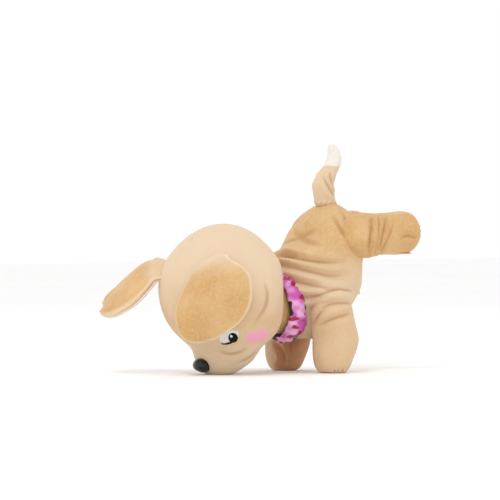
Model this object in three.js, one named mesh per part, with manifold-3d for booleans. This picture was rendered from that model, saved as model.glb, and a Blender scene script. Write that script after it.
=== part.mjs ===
// Interactive plush pet: a puppy doing a handstand. Two motors inside the body swing the
// front legs and kick the hind legs; the head nods, the tail wags and the ears flop.
// Millimetres. The dog faces -X, its left side is -Y, +Z is up and the floor is z = 0.
// Everything is drawn with X = 0 and Y = 0 midway between the front paws, and the whole
// group is then moved so that its origin is the bottom centre of the toy.

import * as THREE from 'three';
import { LoftGeometry } from 'three/addons/geometries/LoftGeometry.js';
import { mergeVertices } from 'three/addons/utils/BufferGeometryUtils.js';
import Module from 'manifold-3d';

const wasm = await Module();
wasm.setup();

// ---------------------------------------------------------------- driving dimensions

const ORIGIN = new THREE.Vector3(62.4, -14.3, 0); // moves the toy onto its bottom centre
const GAP = 0.3; // clearance between pieces that touch
const SIDES = [['left', -1], ['right', 1]]; // the dog's left is -Y

const SHOULDER = { x: 0, z: 74 }; // axle of the front legs
const HIP = { x: 32, z: 162 }; // axle of the hind legs
const NECK = { x: -58, z: 84 }; // pin that the head nods on
const TAIL = { x: 24, z: 196 }; // pivot of the tail
const AXLE_R = 2.5;
const AXLE_HALF = 54;

const CHASSIS_HALF = 30; // half width of the plastic body
const WALL = 2;
const CHEST_HALF = 34.5; // half width of the plush chest between the front legs
const LEG_Y = 49; // centre of each leg
const FRONT_INNER_Y = 36; // flat inner side of a front leg
const HIND_INNER_Y = 31.5; // flat inner side of a hind leg
const HIND_SWING = 25; // degrees each way

const HEAD = new THREE.Vector3(-131, 0, 95); // centre of the head
const HEAD_PITCH = 60; // degrees, nose down
const SKULL_R = 48;
const NECK_SOCKET_R = 36; // ball-shaped hollow in the head, centred on the neck pin

const EAR = { width: 98, length: 89, outer: 5, lining: 3.5, root: 66 };

const MODULE = 1; // gear module
const TEETH = { pinion: 8, wheel: 24, output: 28 };

// ---------------------------------------------------------------- materials

const paint = (color, roughness, metalness = 0) =>
  new THREE.MeshStandardMaterial({ color, roughness, metalness });

const TAN_PLUSH = paint('#e0bb8a', 0.95);
const WHITE_PLUSH = paint('#efe9e2', 0.95);
const PAW_PLUSH = paint('#e8c79d', 0.95);
const SATIN = paint('#e07cc4', 0.45);
const NOSE_PLASTIC = paint('#0c0c0e', 0.12);
const EYE_THREAD = paint('#f4f4f2', 0.6);
const CHASSIS_PLASTIC = paint('#d9d9d4', 0.5);
const GEAR_PLASTIC = paint('#f2efe6', 0.4);
const DOOR_PLASTIC = paint('#35363a', 0.5);
const STEEL = paint('#b9bcc0', 0.3, 1);
const CELL_SLEEVE = paint('#3c5a3e', 0.35);
const BOARD = paint('#2f6b45', 0.5);
const CONE = paint('#26262a', 0.8);

// ---------------------------------------------------------------- small tools

const rad = THREE.MathUtils.degToRad;
const toy = new THREE.Group();
toy.position.copy(ORIGIN);

function solid(geometry) {
  const bare = new THREE.BufferGeometry().copy(geometry);
  bare.deleteAttribute('normal');
  bare.deleteAttribute('uv');
  const merged = mergeVertices(bare, 1e-4);
  return new wasm.Manifold(new wasm.Mesh({
    numProp: 3,
    vertProperties: new Float32Array(merged.attributes.position.array),
    triVerts: new Uint32Array(merged.index.array),
  }));
}

function geometryOf(manifold) {
  const mesh = manifold.getMesh();
  const geometry = new THREE.BufferGeometry();
  geometry.setAttribute('position', new THREE.BufferAttribute(mesh.vertProperties, 3));
  geometry.setIndex(new THREE.BufferAttribute(mesh.triVerts, 1));
  geometry.computeVertexNormals();
  return geometry;
}

function add(name, manifold, material) {
  const mesh = new THREE.Mesh(geometryOf(manifold), material);
  mesh.name = name;
  toy.add(mesh);
}

const cutAll = (body, tools) => tools.reduce((rest, tool) => rest.subtract(tool), body);
const joinAll = (parts) => parts.reduce((whole, part) => whole.add(part));

function box(x0, x1, y0, y1, z0, z1) {
  const geometry = new THREE.BoxGeometry(x1 - x0, y1 - y0, z1 - z0);
  geometry.translate((x0 + x1) / 2, (y0 + y1) / 2, (z0 + z1) / 2);
  return solid(geometry);
}

// A box between |Y| = inner and |Y| = outer on one side.
function sideBox(side, x0, x1, inner, outer, z0, z1) {
  return box(x0, x1, Math.min(side * inner, side * outer), Math.max(side * inner, side * outer), z0, z1);
}

function rodY(x, z, radius, y0, y1, segments = 14) {
  const geometry = new THREE.CylinderGeometry(radius, radius, Math.abs(y1 - y0), segments);
  geometry.translate(x, (y0 + y1) / 2, z);
  return solid(geometry);
}

function rodX(y, z, radius, x0, x1, segments = 24) {
  const geometry = new THREE.CylinderGeometry(radius, radius, x1 - x0, segments);
  geometry.rotateZ(Math.PI / 2);
  geometry.translate((x0 + x1) / 2, y, z);
  return solid(geometry);
}

function rodZ(x, y, radius, z0, z1, segments = 20) {
  const geometry = new THREE.CylinderGeometry(radius, radius, z1 - z0, segments);
  geometry.rotateX(Math.PI / 2);
  geometry.translate(x, y, (z0 + z1) / 2);
  return solid(geometry);
}

function ball(centre, radius, segments) {
  const geometry = new THREE.SphereGeometry(radius, segments, Math.round(segments * 0.6));
  geometry.translate(centre.x, centre.y ?? 0, centre.z);
  return solid(geometry);
}

// Extrudes an outline drawn in X and Z from Y = y0 to Y = y1.
function slabY(points, y0, y1) {
  const shape = points instanceof THREE.Shape
    ? points
    : new THREE.Shape(points.map(([x, z]) => new THREE.Vector2(x, z)));
  const settings = { depth: y1 - y0, bevelEnabled: false, curveSegments: 10 };
  const geometry = new THREE.ExtrudeGeometry(shape, settings);
  geometry.rotateX(Math.PI / 2);
  geometry.translate(0, y1, 0);
  return solid(geometry);
}

// Turns a solid by some degrees about a line along Y through the point.
function turnY(manifold, point, degrees) {
  return manifold
    .translate([-point.x, 0, -point.z])
    .rotate([0, degrees, 0])
    .translate([point.x, 0, point.z]);
}

// One closed ring of a superellipse; u and v are the two directions of its plane.
function ring(centre, u, v, a, b, power, count) {
  const points = [];
  for (let i = 0; i < count; i++) {
    const angle = (i / count) * 2 * Math.PI;
    const c = Math.cos(angle);
    const s = Math.sin(angle);
    const du = a * Math.sign(c) * Math.abs(c) ** (2 / power);
    const dv = b * Math.sign(s) * Math.abs(s) ** (2 / power);
    points.push(centre.clone().addScaledVector(u, du).addScaledVector(v, dv));
  }
  return points;
}

const AXIS_X = new THREE.Vector3(1, 0, 0);
const AXIS_Y = new THREE.Vector3(0, 1, 0);
const AXIS_Z = new THREE.Vector3(0, 0, 1);

const loft = (sections) => solid(new LoftGeometry(sections, { capStart: true, capEnd: true }));

// ---------------------------------------------------------------- gears

// Straight trapezium teeth: phase is the direction of the first tooth, in radians.
function gearShape(teeth, phase) {
  const pitch = (2 * Math.PI) / teeth;
  const rootR = MODULE * (teeth / 2 - 1.15);
  const tipR = MODULE * (teeth / 2 + 0.75);
  const corners = [[rootR, -0.27], [tipR, -0.1], [tipR, 0.1], [rootR, 0.27]];
  const points = [];
  for (let tooth = 0; tooth < teeth; tooth++) {
    for (const [radius, share] of corners) {
      const angle = phase + (tooth + share) * pitch;
      points.push([radius * Math.cos(angle), radius * Math.sin(angle)]);
    }
  }
  return points;
}

function gear(teeth, phase, centre, y0, y1) {
  const points = gearShape(teeth, phase).map(([x, z]) => [x + centre.x, z + centre.z]);
  return slabY(points, Math.min(y0, y1), Math.max(y0, y1));
}

// The phase that puts a gap of the second gear where the first gear has a tooth.
function meshedPhase(from, teethFrom, phaseFrom, to, teethTo) {
  const line = Math.atan2(to.z - from.z, to.x - from.x);
  const rFrom = (MODULE * teethFrom) / 2;
  const rTo = (MODULE * teethTo) / 2;
  const arc = rFrom * (phaseFrom - line) + (MODULE * Math.PI) / 2;
  return line + Math.PI - arc / rTo;
}

// A train from the output gear on an axle back to the motor pinion.
const TRAINS = {
  kick: {
    side: 1,
    output: HIP,
    second: { x: 14.8, z: 167.3 },
    first: { x: 6.5, z: 153.6 },
    motor: { x: -2.5, z: 140.4 },
  },
  lift: {
    side: -1,
    output: SHOULDER,
    second: { x: -13.5, z: 85.9 },
    first: { x: -9.5, z: 101.4 },
    motor: { x: -13, z: 117 },
  },
};
const LAYERS = { pinion: [9, 14], firstWheel: [10, 13], firstPinion: [13, 18], secondWheel: [14.5, 17.5],
  secondPinion: [17.5, 23], output: [19, 22] };
const PIN_R = 1.5;
const MOTOR = { width: 20, height: 15, from: -18, to: 7, shaft: 1 };

function addTrain(name, { side, output, second, first, motor }) {
  const layer = (key) => LAYERS[key].map((y) => side * y);
  const bore = (at) => rodY(at.x, at.z, PIN_R + 0.08, -30, 30, 16);

  const outputPhase = 0;
  add(`${name}_output_gear`,
    gear(TEETH.output, outputPhase, output, ...layer('output'))
      .add(rodY(output.x, output.z, 6, ...layer('secondPinion')))
      .subtract(rodY(output.x, output.z, AXLE_R + GAP, -30, 30)),
    GEAR_PLASTIC);

  const secondPhase = meshedPhase(output, TEETH.output, outputPhase, second, TEETH.pinion);
  add(`${name}_gear_2`,
    gear(TEETH.pinion, secondPhase, second, ...layer('secondPinion'))
      .add(gear(TEETH.wheel, secondPhase, second, ...layer('secondWheel')))
      .subtract(bore(second)),
    GEAR_PLASTIC);

  const firstPhase = meshedPhase(second, TEETH.wheel, secondPhase, first, TEETH.pinion);
  add(`${name}_gear_1`,
    gear(TEETH.pinion, firstPhase, first, ...layer('firstPinion'))
      .add(gear(TEETH.wheel, firstPhase, first, ...layer('firstWheel')))
      .subtract(bore(first)),
    GEAR_PLASTIC);

  const pinionPhase = meshedPhase(first, TEETH.wheel, firstPhase, motor, TEETH.pinion);
  const shaftFrom = side * (MOTOR.to - 5);
  add(`${name}_pinion`,
    gear(TEETH.pinion, pinionPhase, motor, ...layer('pinion'))
      .add(rodY(motor.x, motor.z, MOTOR.shaft, shaftFrom, side * LAYERS.pinion[1], 12)),
    GEAR_PLASTIC);

  const can = rodY(0, 0, MOTOR.width / 2, side * MOTOR.from, side * MOTOR.to, 32)
    .intersect(box(-MOTOR.width, MOTOR.width, -30, 30, -MOTOR.height / 2, MOTOR.height / 2))
    .translate([motor.x, 0, motor.z]);
  add(`${name}_motor`,
    can.subtract(rodY(motor.x, motor.z, MOTOR.shaft + 0.08, shaftFrom - side, side * 10, 12)),
    STEEL);
}

// ---------------------------------------------------------------- torso

// Level sections of the plush torso: height, centre X, half length, half width, squareness.
const TORSO_LEVELS = [
  [40, 0, 20, 18, 2.6],
  [43, 0, 28, 26, 3],
  [50, 0, 34, 32, 3.5],
  [62, -1, 37, CHEST_HALF, 3.5],
  [76, 1, 42, CHEST_HALF, 3.5],
  [90, 4.5, 49.5, 42, 3],
  [100, 5.5, 52, 50, 2.6],
  [112, 8, 54, 56, 2.4],
  [134, 12, 53, 57, 2.4],
  [150, 17, 44.5, 56.5, 2.4],
  [160, 20, 38.5, 55, 2.5],
  [170, 23, 33, 51, 2.5],
  [180, 23.5, 27, 46, 2.5],
  [190, 24, 21, 37, 2.3],
  [198, 24, 14, 25, 2.1],
  [202, 24, 6, 11, 2],
];
const TORSO_SIDES = 24;

function torsoForm(grow) {
  return loft(TORSO_LEVELS.map(([z, x, a, b, power]) =>
    ring(new THREE.Vector3(x, 0, z), AXIS_X, AXIS_Y, a + grow, b + grow, power, TORSO_SIDES)));
}

const CHASSIS_OUTLINE = [
  [-20, 55], [20, 55], [45, 91], [50, 97], [50, 168], [40, 184], [8, 184], [2, 176],
  [-28, 134], [-34, 112], [-34, 90], [-29, 76],
];

// Moves every edge of a convex counterclockwise outline inwards.
function inset(outline, distance) {
  const lines = outline.map((point, i) => {
    const next = outline[(i + 1) % outline.length];
    const length = Math.hypot(next[0] - point[0], next[1] - point[1]);
    const normal = [-(next[1] - point[1]) / length, (next[0] - point[0]) / length];
    return { normal, offset: normal[0] * point[0] + normal[1] * point[1] + distance };
  });
  return lines.map((line, i) => {
    const before = lines[(i + lines.length - 1) % lines.length];
    const det = before.normal[0] * line.normal[1] - before.normal[1] * line.normal[0];
    return [
      (before.offset * line.normal[1] - line.offset * before.normal[1]) / det,
      (before.normal[0] * line.offset - line.normal[0] * before.offset) / det,
    ];
  });
}

const DOOR = { halfWidth: 26, bottom: 98, top: 145, x: 50.4, thickness: 2 };
const SWITCH = { z: 152, slotHalf: 5, halfHeight: 2 };
const FLAP = { x: 53.2, halfWidth: 27, bottom: 91, top: 159 };
const POST = { halfWidth: 5, bottom: 77, top: 91 };
const SCREWS = [[34, 84], [-22, 66], [-20, 138]]; // X and Z of the chassis screws
const BOSS_R = 3.2;
const SCREW_R = 1.4;

function addChassis() {
  const inner = inset(CHASSIS_OUTLINE, WALL);
  const openings = [
    rodY(SHOULDER.x, SHOULDER.z, AXLE_R + 0.2, -40, 40, 10),
    rodY(HIP.x, HIP.z, AXLE_R + 0.2, -40, 40, 10),
    box(47, 52, -DOOR.halfWidth + 0.5, DOOR.halfWidth - 0.5, DOOR.bottom - 0.4, DOOR.top + 0.4),
    box(47, 52, -SWITCH.slotHalf, SWITCH.slotHalf,
      SWITCH.z - SWITCH.halfHeight, SWITCH.z + SWITCH.halfHeight),
    box(-36, -27, -POST.halfWidth - GAP, POST.halfWidth + GAP, POST.bottom - GAP, POST.top + GAP),
    ...SCREWS.map(([x, z]) => rodY(x, z, SCREW_R + 0.1, -40, 40, 10)),
  ];
  const bosses = (side) => SCREWS.map(([x, z]) =>
    rodY(x, z, BOSS_R, side * 0.15, side * (CHASSIS_HALF - 1), 10));
  const trainOn = (side) => Object.values(TRAINS).find((train) => train.side === side);
  const shelf = (side, { motor }) => sideBox(side, motor.x - 9, motor.x + 9, -MOTOR.to, CHASSIS_HALF - 1,
    motor.z - MOTOR.height / 2 - WALL - GAP, motor.z - MOTOR.height / 2 - GAP);

  for (const [name, side] of SIDES) {
    const [y0, y1] = side < 0 ? [-CHASSIS_HALF, -0.15] : [0.15, CHASSIS_HALF];
    const [c0, c1] = side < 0 ? [-CHASSIS_HALF + WALL, 1] : [-1, CHASSIS_HALF - WALL];
    const shell = slabY(CHASSIS_OUTLINE, y0, y1).subtract(slabY(inner, c0, c1));
    const train = trainOn(side);
    const pins = [train.first, train.second].map((at) =>
      rodY(at.x, at.z, PIN_R, side * 9.6, side * (CHASSIS_HALF - 1), 10));
    const half = joinAll([shell, ...pins, ...bosses(side), shelf(side, trainOn(-side))]);
    const keptSide = side < 0 ? box(-90, 90, -60, -0.15, 0, 250) : box(-90, 90, 0.15, 60, 0, 250);
    add(`chassis_${name}`, cutAll(half, openings).intersect(keptSide), CHASSIS_PLASTIC);
  }

  SCREWS.forEach(([x, z], i) => {
    const screw = rodY(x, z, SCREW_R, -CHASSIS_HALF - GAP, 24, 10)
      .add(rodY(x, z, 2.6, -CHASSIS_HALF - 1.6, -CHASSIS_HALF - GAP, 10));
    add(`chassis_screw_${i + 1}`, screw, STEEL);
  });
}

// The space that the hind legs sweep as they kick, on both sides of the body.
function hindLegSweep() {
  const reach = 60;
  const half = 28;
  const swing = rad(HIND_SWING);
  const outline = new THREE.Shape();
  outline.absarc(0, 0, half, Math.PI / 2 + swing, 1.5 * Math.PI - swing, false);
  for (const sign of [-1, 1]) {
    outline.lineTo(reach * Math.cos(swing) - half * Math.sin(swing),
      sign * (reach * Math.sin(swing) + half * Math.cos(swing)));
  }
  return slabY(outline, -90, 90)
    .translate([HIP.x, 0, HIP.z])
    .subtract(box(-90, 200, -31, 31, 0, 300));
}

function addTorso() {
  const grownChassis = slabY(inset(CHASSIS_OUTLINE, -1), -CHASSIS_HALF - 1, CHASSIS_HALF + 1);
  const screwHeads = SCREWS.map(([x, z]) => rodY(x, z, 3.6, -CHASSIS_HALF - 2.4, 0, 8));
  const body = cutAll(torsoForm(0), [
    grownChassis,
    ...screwHeads,
    hindLegSweep(),
    box(-100, 140, -90, -CHEST_HALF - 0.5, 0, 102),
    box(-100, 140, CHEST_HALF + 0.5, 90, 0, 102),
    rodY(SHOULDER.x, SHOULDER.z, AXLE_R + 1.5, -90, 90, 8),
    rodY(HIP.x, HIP.z, AXLE_R + 1.5, -90, 90, 8),
    box(-70, -30, -POST.halfWidth - 1, POST.halfWidth + 1, POST.bottom - 1, POST.top + 1),
    box(FLAP.x - 5, 100, -FLAP.halfWidth - 1, FLAP.halfWidth + 1, FLAP.bottom - 0.6, FLAP.top + 1),
    ball(TAIL, 17, 14),
  ]);
  add('torso_plush', body, TAN_PLUSH);

  const flap = torsoForm(0).intersect(
    box(FLAP.x, 100, -FLAP.halfWidth, FLAP.halfWidth, FLAP.bottom, FLAP.top));
  add('battery_flap', flap, TAN_PLUSH);
}

// ---------------------------------------------------------------- electronics

const CELLS = { r: 7.25, length: 50.5, x: 41, z: [106, 121.5, 137] };
const TRAY = { x0: 31, x1: 49.7, halfWidth: 27.6, z0: 97.2, z1: 145.8, wall: 1.4 };

function addElectronics() {
  const { x0, x1, halfWidth, z0, z1, wall } = TRAY;
  const hollow = box(x0 + wall, x1 + 5, -halfWidth + wall, halfWidth - wall, z0 + wall, z1 - wall);
  const doorFrame = box(47.7, 60, -40, 40, 0, 300)
    .subtract(box(40, 70, -DOOR.halfWidth + 0.8, DOOR.halfWidth - 0.8, 0, 300));
  const tray = box(x0, x1, -halfWidth, halfWidth, z0 - 0.6, z1 + 0.1).subtract(hollow).subtract(doorFrame);
  const frontLip = box(46.8, 60, -40, 40, DOOR.top + 0.1, 300)
    .add(box(46.8, 60, -40, 40, 0, DOOR.bottom - 0.1));
  add('battery_tray', tray.subtract(frontLip), DOOR_PLASTIC);

  CELLS.z.forEach((z, i) => {
    const half = CELLS.length / 2;
    const plus = i % 2 ? 1 : -1;
    const cell = rodY(CELLS.x, z, CELLS.r, -half + (plus < 0 ? 1.2 : 0), half - (plus > 0 ? 1.2 : 0), 24)
      .add(rodY(CELLS.x, z, 2.7, plus * (half - 3), plus * half, 12));
    add(`battery_cell_${i + 1}`, cell, CELL_SLEEVE);
  });

  const board = joinAll([
    box(26, 27.6, -24, 24, 94, 140),
    box(23.6, 26.1, -8, 4, 132, 138),
    box(23.8, 26.1, 9, 18, 128, 137),
  ]);
  add('circuit_board', board, BOARD);

  const speaker = joinAll([
    rodX(0, 112, 18, 12.5, 16, 24).subtract(rodX(0, 112, 15.5, 12, 14, 24)),
    rodX(0, 112, 10, 15.5, 22, 16),
    rodX(0, 112, 6, 13, 14.6, 16),
  ]);
  add('speaker', speaker, CONE);

  const body = box(42.4, 47.7, -9, 9, SWITCH.z - 4, SWITCH.z + 4)
    .subtract(box(45, 49, -4.6, 4.6, SWITCH.z - 1.9, SWITCH.z + 1.9));
  add('switch_body', body, DOOR_PLASTIC);
  const lever = box(45.3, 51.6, -2.2, 2.2, SWITCH.z - 1.5, SWITCH.z + 1.5);
  add('power_switch', lever.translate([0, -2, 0]), DOOR_PLASTIC);

  const { x, thickness, halfWidth: doorHalf, bottom, top } = DOOR;
  const door = joinAll([
    box(x, x + thickness, -doorHalf, doorHalf, bottom, top),
    box(x - 1.2, x + 0.5, -doorHalf + 2, doorHalf - 2, bottom + 2, bottom + 3.4),
  ]);
  add('battery_door', door, DOOR_PLASTIC);
}

// ---------------------------------------------------------------- legs

// Radius of a front leg at each height above the floor.
const FRONT_LEG = [
  [0, 0], [15, 0], [19, 3], [22.4, 9], [25, 18], [26.8, 28], [27.6, 40], [26.2, 55], [24.4, 66],
  [23, 76], [21, 85], [16, 92.5], [8, 96.8], [0, 98],
];
const CORE = { inner: 44, outer: 50, hubR: 8, halfWidth: 6 };

// A plastic paddle from the axle down the middle of a leg, along +X before it is turned.
function legCore(side, at, length) {
  const [y0, y1] = [side * CORE.inner, side * CORE.outer].sort((p, q) => p - q);
  const arm = (grow) => joinAll([
    rodY(at.x, at.z, CORE.hubR + grow, y0 - grow, y1 + grow),
    box(at.x, at.x + length + grow, y0 - grow, y1 + grow,
      at.z - CORE.halfWidth - grow, at.z + CORE.halfWidth + grow),
    rodY(at.x + length, at.z, CORE.halfWidth + 3 + grow, y0 - grow, y1 + grow),
  ]);
  return { core: arm(0).subtract(rodY(at.x, at.z, AXLE_R + GAP, -90, 90)), room: arm(GAP) };
}

function addFrontLegs() {
  add('shoulder_axle', rodY(SHOULDER.x, SHOULDER.z, AXLE_R, -AXLE_HALF, AXLE_HALF, 12), STEEL);
  for (const [name, side] of SIDES) {
    const geometry = new THREE.LatheGeometry(FRONT_LEG.map(([r, z]) => new THREE.Vector2(r, z)), 16);
    geometry.rotateX(Math.PI / 2);
    geometry.translate(0, side * LEG_Y, 0);
    const { core, room } = legCore(side, SHOULDER, 42);
    const hanging = (part) => turnY(part, SHOULDER, 90);
    const soleY = side * (LEG_Y + 2);
    const leg = cutAll(solid(geometry), [
      sideBox(side, -60, 60, 0, FRONT_INNER_Y, -10, 140),
      hanging(room),
      sideAxleRoom(side, SHOULDER),
      rodZ(0, soleY, 13 + GAP, -1, 2.4, 24),
    ]);
    add(`front_leg_${name}`, leg, TAN_PLUSH);
    add(`front_leg_core_${name}`, hanging(core), CHASSIS_PLASTIC);
    add(`front_paw_sole_${name}`, rodZ(0, soleY, 13, 0, 2.1, 24), PAW_PLUSH);
  }
}

// Room for an axle end inside one leg.
function sideAxleRoom(side, at) {
  return rodY(at.x, at.z, AXLE_R + 0.6, side * 20, side * (AXLE_HALF + 1));
}

// Sections of a hind leg from the haunch to the toes: X, centre Z, radius.
const HIND_LEG = [
  [6, 162, 6], [8.5, 162, 13], [13, 162, 18.8], [20, 162, 24], [32, 162, 26.6], [50, 163, 25.6],
  [70, 165, 24.4], [88, 166.4, 25.6], [101, 167, 26.4], [111, 167, 24.4], [117, 167, 18.5],
  [120, 167, 9],
];

function addHindLegs() {
  add('hip_axle', rodY(HIP.x, HIP.z, AXLE_R, -AXLE_HALF, AXLE_HALF, 12), STEEL);
  for (const [name, side] of SIDES) {
    const form = loft(HIND_LEG.map(([x, z, r]) =>
      ring(new THREE.Vector3(x, side * LEG_Y, z), AXIS_Y, AXIS_Z, r, r, 2, 16)));
    const { core, room } = legCore(side, HIP, 68);
    const sole = (grow) => {
      const disc = new THREE.CylinderGeometry(1, 1, 2.4 + grow * 2, 24);
      disc.rotateX(Math.PI / 2);
      disc.scale(15 + grow, 10.5 + grow, 1);
      disc.translate(97, side * (LEG_Y + 1), 141.4);
      return solid(disc);
    };
    const leg = cutAll(form, [
      sideBox(side, -20, 200, 0, HIND_INNER_Y, 100, 240),
      room,
      sideAxleRoom(side, HIP),
      sole(GAP).add(sole(GAP).translate([0, 0, -2])),
    ]);
    add(`hind_leg_${name}`, leg, TAN_PLUSH);
    add(`hind_leg_core_${name}`, core, CHASSIS_PLASTIC);
    add(`hind_paw_sole_${name}`, sole(0), PAW_PLUSH);
  }
}

// ---------------------------------------------------------------- neck and scarf

function addNeck() {
  const { halfWidth, bottom, top } = POST;
  const post = joinAll([
    box(NECK.x, -31, -halfWidth, halfWidth, bottom, top),
    rodY(NECK.x, NECK.z, (top - bottom) / 2, -halfWidth, halfWidth),
    box(-31.6, -29.4, -halfWidth, halfWidth, 80, 100),
    box(-31.6, -29.4, -9, 9, 91.6, 100),
  ]).subtract(rodY(NECK.x, NECK.z, 2.1, -20, 20, 16));
  add('neck_post', post, CHASSIS_PLASTIC);

  const neckZ = 77;
  const grownTorso = torsoForm(GAP);
  const tube = rodX(0, neckZ, 34, -51, -30).subtract(rodX(0, neckZ, 16.5, -60, 0)).subtract(grownTorso);
  add('neck_plush', tube, TAN_PLUSH);

  const scarf = rodX(0, neckZ, 38.6, -50, -40.5, 28)
    .subtract(rodX(0, neckZ, 34 + GAP, -60, 0))
    .subtract(grownTorso);
  add('scarf', scarf, SATIN);
}

// ---------------------------------------------------------------- head

const pitch = rad(HEAD_PITCH);
const FORWARD = new THREE.Vector3(-Math.cos(pitch), 0, -Math.sin(pitch));
const CROWN = new THREE.Vector3(-Math.sin(pitch), 0, Math.cos(pitch));
const LEFTWARD = new THREE.Vector3(0, -1, 0);

// A place on the head given as forward, up and left distances from its centre.
const onHead = (f, u, l) => HEAD.clone()
  .addScaledVector(FORWARD, f)
  .addScaledVector(CROWN, u)
  .addScaledVector(LEFTWARD, l);

// An ellipsoid whose own X, Y and Z lie along three given directions.
function blob(centre, directions, radii, segments) {
  const geometry = new THREE.SphereGeometry(1, segments, Math.round(segments * 0.65));
  const [x, y, z] = directions.map((direction, i) => direction.clone().multiplyScalar(radii[i]));
  geometry.applyMatrix4(new THREE.Matrix4().makeBasis(x, y, z).setPosition(centre));
  return solid(geometry);
}

const HEAD_AXES = [FORWARD, CROWN.clone().negate(), LEFTWARD.clone()];

function eyeSolid(sign, grow) {
  const centre = onHead(55.6, -7, sign * 52);
  const out = onHead(58, -6, sign * 56).sub(HEAD).normalize();
  const down = FORWARD.clone().addScaledVector(out, -FORWARD.dot(out)).normalize();
  const across = new THREE.Vector3().crossVectors(out, down);
  return blob(centre, [out, down, across], [4 + grow, 15 + grow, 13 + grow], 12);
}

const noseSolid = (grow) => blob(onHead(87.5, -18, 0), HEAD_AXES, [7 + grow, 8.5 + grow, 10.5 + grow], 12);

const BUTTON = { r: 11, from: SKULL_R + 2.6, to: SKULL_R + 6.5, stemR: 3, stemFrom: SKULL_R - 8 };

// A round rod along the crown direction, from the head's centre outwards.
function crownRod(radius, from, to) {
  const geometry = new THREE.CylinderGeometry(radius, radius, to - from, 20);
  geometry.applyQuaternion(new THREE.Quaternion().setFromUnitVectors(AXIS_Y, CROWN));
  const middle = HEAD.clone().addScaledVector(CROWN, (from + to) / 2);
  geometry.translate(middle.x, middle.y, middle.z);
  return solid(geometry);
}

// The stuffed masses of the head: the ball round the skull, the muzzle and the raised crown.
const HEAD_BALL = { centre: onHead(-3, -2, 0), radii: [76, 81, 79] };
const MUZZLE = { centre: new THREE.Vector3(-131.6, 0, 27.5), radii: [35, 29, 35] };
const CROWN_BULGE = { centre: new THREE.Vector3(-127, 0, 128), radii: [50, 50, 50] };
const UPRIGHT_AXES = [AXIS_X, AXIS_Y, AXIS_Z];

function addHead() {
  const outer = blob(HEAD_BALL.centre, HEAD_AXES, HEAD_BALL.radii, 26);
  const muzzle = blob(MUZZLE.centre, HEAD_AXES, MUZZLE.radii, 18);
  const crown = blob(CROWN_BULGE.centre, UPRIGHT_AXES, CROWN_BULGE.radii, 20);
  const lugRoom = box(-100, NECK.x + 9, -10, 10, NECK.z - 16, NECK.z + 16);
  const plush = cutAll(joinAll([outer, muzzle, crown]), [
    ball(HEAD, SKULL_R + 2.5, 16),
    ball(NECK, NECK_SOCKET_R, 16),
    lugRoom,
    crownRod(BUTTON.r + 1.5, 30, BUTTON.to + 1),
    eyeSolid(-1, GAP),
    eyeSolid(1, GAP),
    noseSolid(GAP),
    box(-300, 100, -100, 100, -50, 0),
  ]);
  add('head_plush', plush, TAN_PLUSH);
  const aboveFloor = box(-300, 100, -100, 100, 0.4, 200);
  add('nose', noseSolid(0).intersect(aboveFloor), NOSE_PLASTIC);

  for (const [name, side] of SIDES) {
    add(`eye_${name}`, eyeSolid(-side, 0), EYE_THREAD);
    const shell = ball(HEAD, SKULL_R, 16).subtract(ball(HEAD, SKULL_R - WALL, 16));
    const lug = joinAll([
      sideBox(side, -90, NECK.x, 5.5, 8.5, NECK.z - 7, NECK.z + 7),
      rodY(NECK.x, NECK.z, 7, side * 5.5, side * 8.5),
    ]);
    const half = shell.add(lug.subtract(ball(HEAD, SKULL_R - WALL, 16)))
      .subtract(rodY(NECK.x, NECK.z, 2.3, -20, 20, 16))
      .subtract(crownRod(BUTTON.stemR + 0.4, 30, 60))
      .intersect(sideBox(side, -300, 0, 0.15, 100, 0, 250));
    add(`skull_${name}`, half, CHASSIS_PLASTIC);
  }
  add('neck_pin', rodY(NECK.x, NECK.z, 1.9, -9.5, 9.5, 16), STEEL);
  add('head_touch_button',
    crownRod(BUTTON.r, BUTTON.from, BUTTON.to).add(crownRod(BUTTON.stemR, BUTTON.stemFrom, BUTTON.to - 1)),
    DOOR_PLASTIC);
}

// ---------------------------------------------------------------- ears

// Half width of an ear at a share of its length.
function earHalfWidth(share) {
  const root = EAR.root / 2;
  const full = EAR.width / 2;
  if (share < 0.4) return root + (full - root) * Math.sin((share / 0.4) * Math.PI / 2);
  return full * Math.sqrt(Math.max(0, 1 - ((share - 0.4) / 0.6) ** 2.3));
}

// A curved leather-like panel from its root line. along is the root line's direction, down the
// hanging direction and out the normal; bendDown and bendAcross are radii of curvature.
function earPanel(pose, from, to, edge) {
  const { root, along, down, out, bendDown, bendAcross } = pose;
  const rows = 9;
  const columns = 8;
  const place = (share, across, height) => {
    const s = share * (EAR.length - edge);
    const t = across * (earHalfWidth(share * 0.985) - edge);
    const drop = bendDown * (1 - Math.cos(s / bendDown)) + bendAcross * (1 - Math.cos(t / bendAcross));
    return root.clone()
      .addScaledVector(along, t)
      .addScaledVector(down, bendDown * Math.sin(s / bendDown))
      .addScaledVector(out, height - drop);
  };
  const sections = [];
  for (let row = 0; row <= rows; row++) {
    const share = row / rows;
    const section = [];
    for (let i = 0; i <= columns; i++) section.push(place(share, (2 * i) / columns - 1, to));
    for (let i = columns; i >= 0; i--) section.push(place(share, (2 * i) / columns - 1, from));
    sections.push(pose.mirrored ? section.reverse() : section);
  }
  return loft(sections);
}

// Each ear: the middle of its root line, the way it hangs, the radii it curls to, its rise off the head.
const EARS = {
  left: { at: [-179.4, -51, 125.8], down: [-0.062, -0.3, -0.952], bendDown: 110, bendAcross: 95, lift: 7 },
  right: { at: [-185, 45, 116], down: [-0.488, 0.712, -0.505], bendDown: 320, bendAcross: 150, lift: 6.5 },
};

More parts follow.
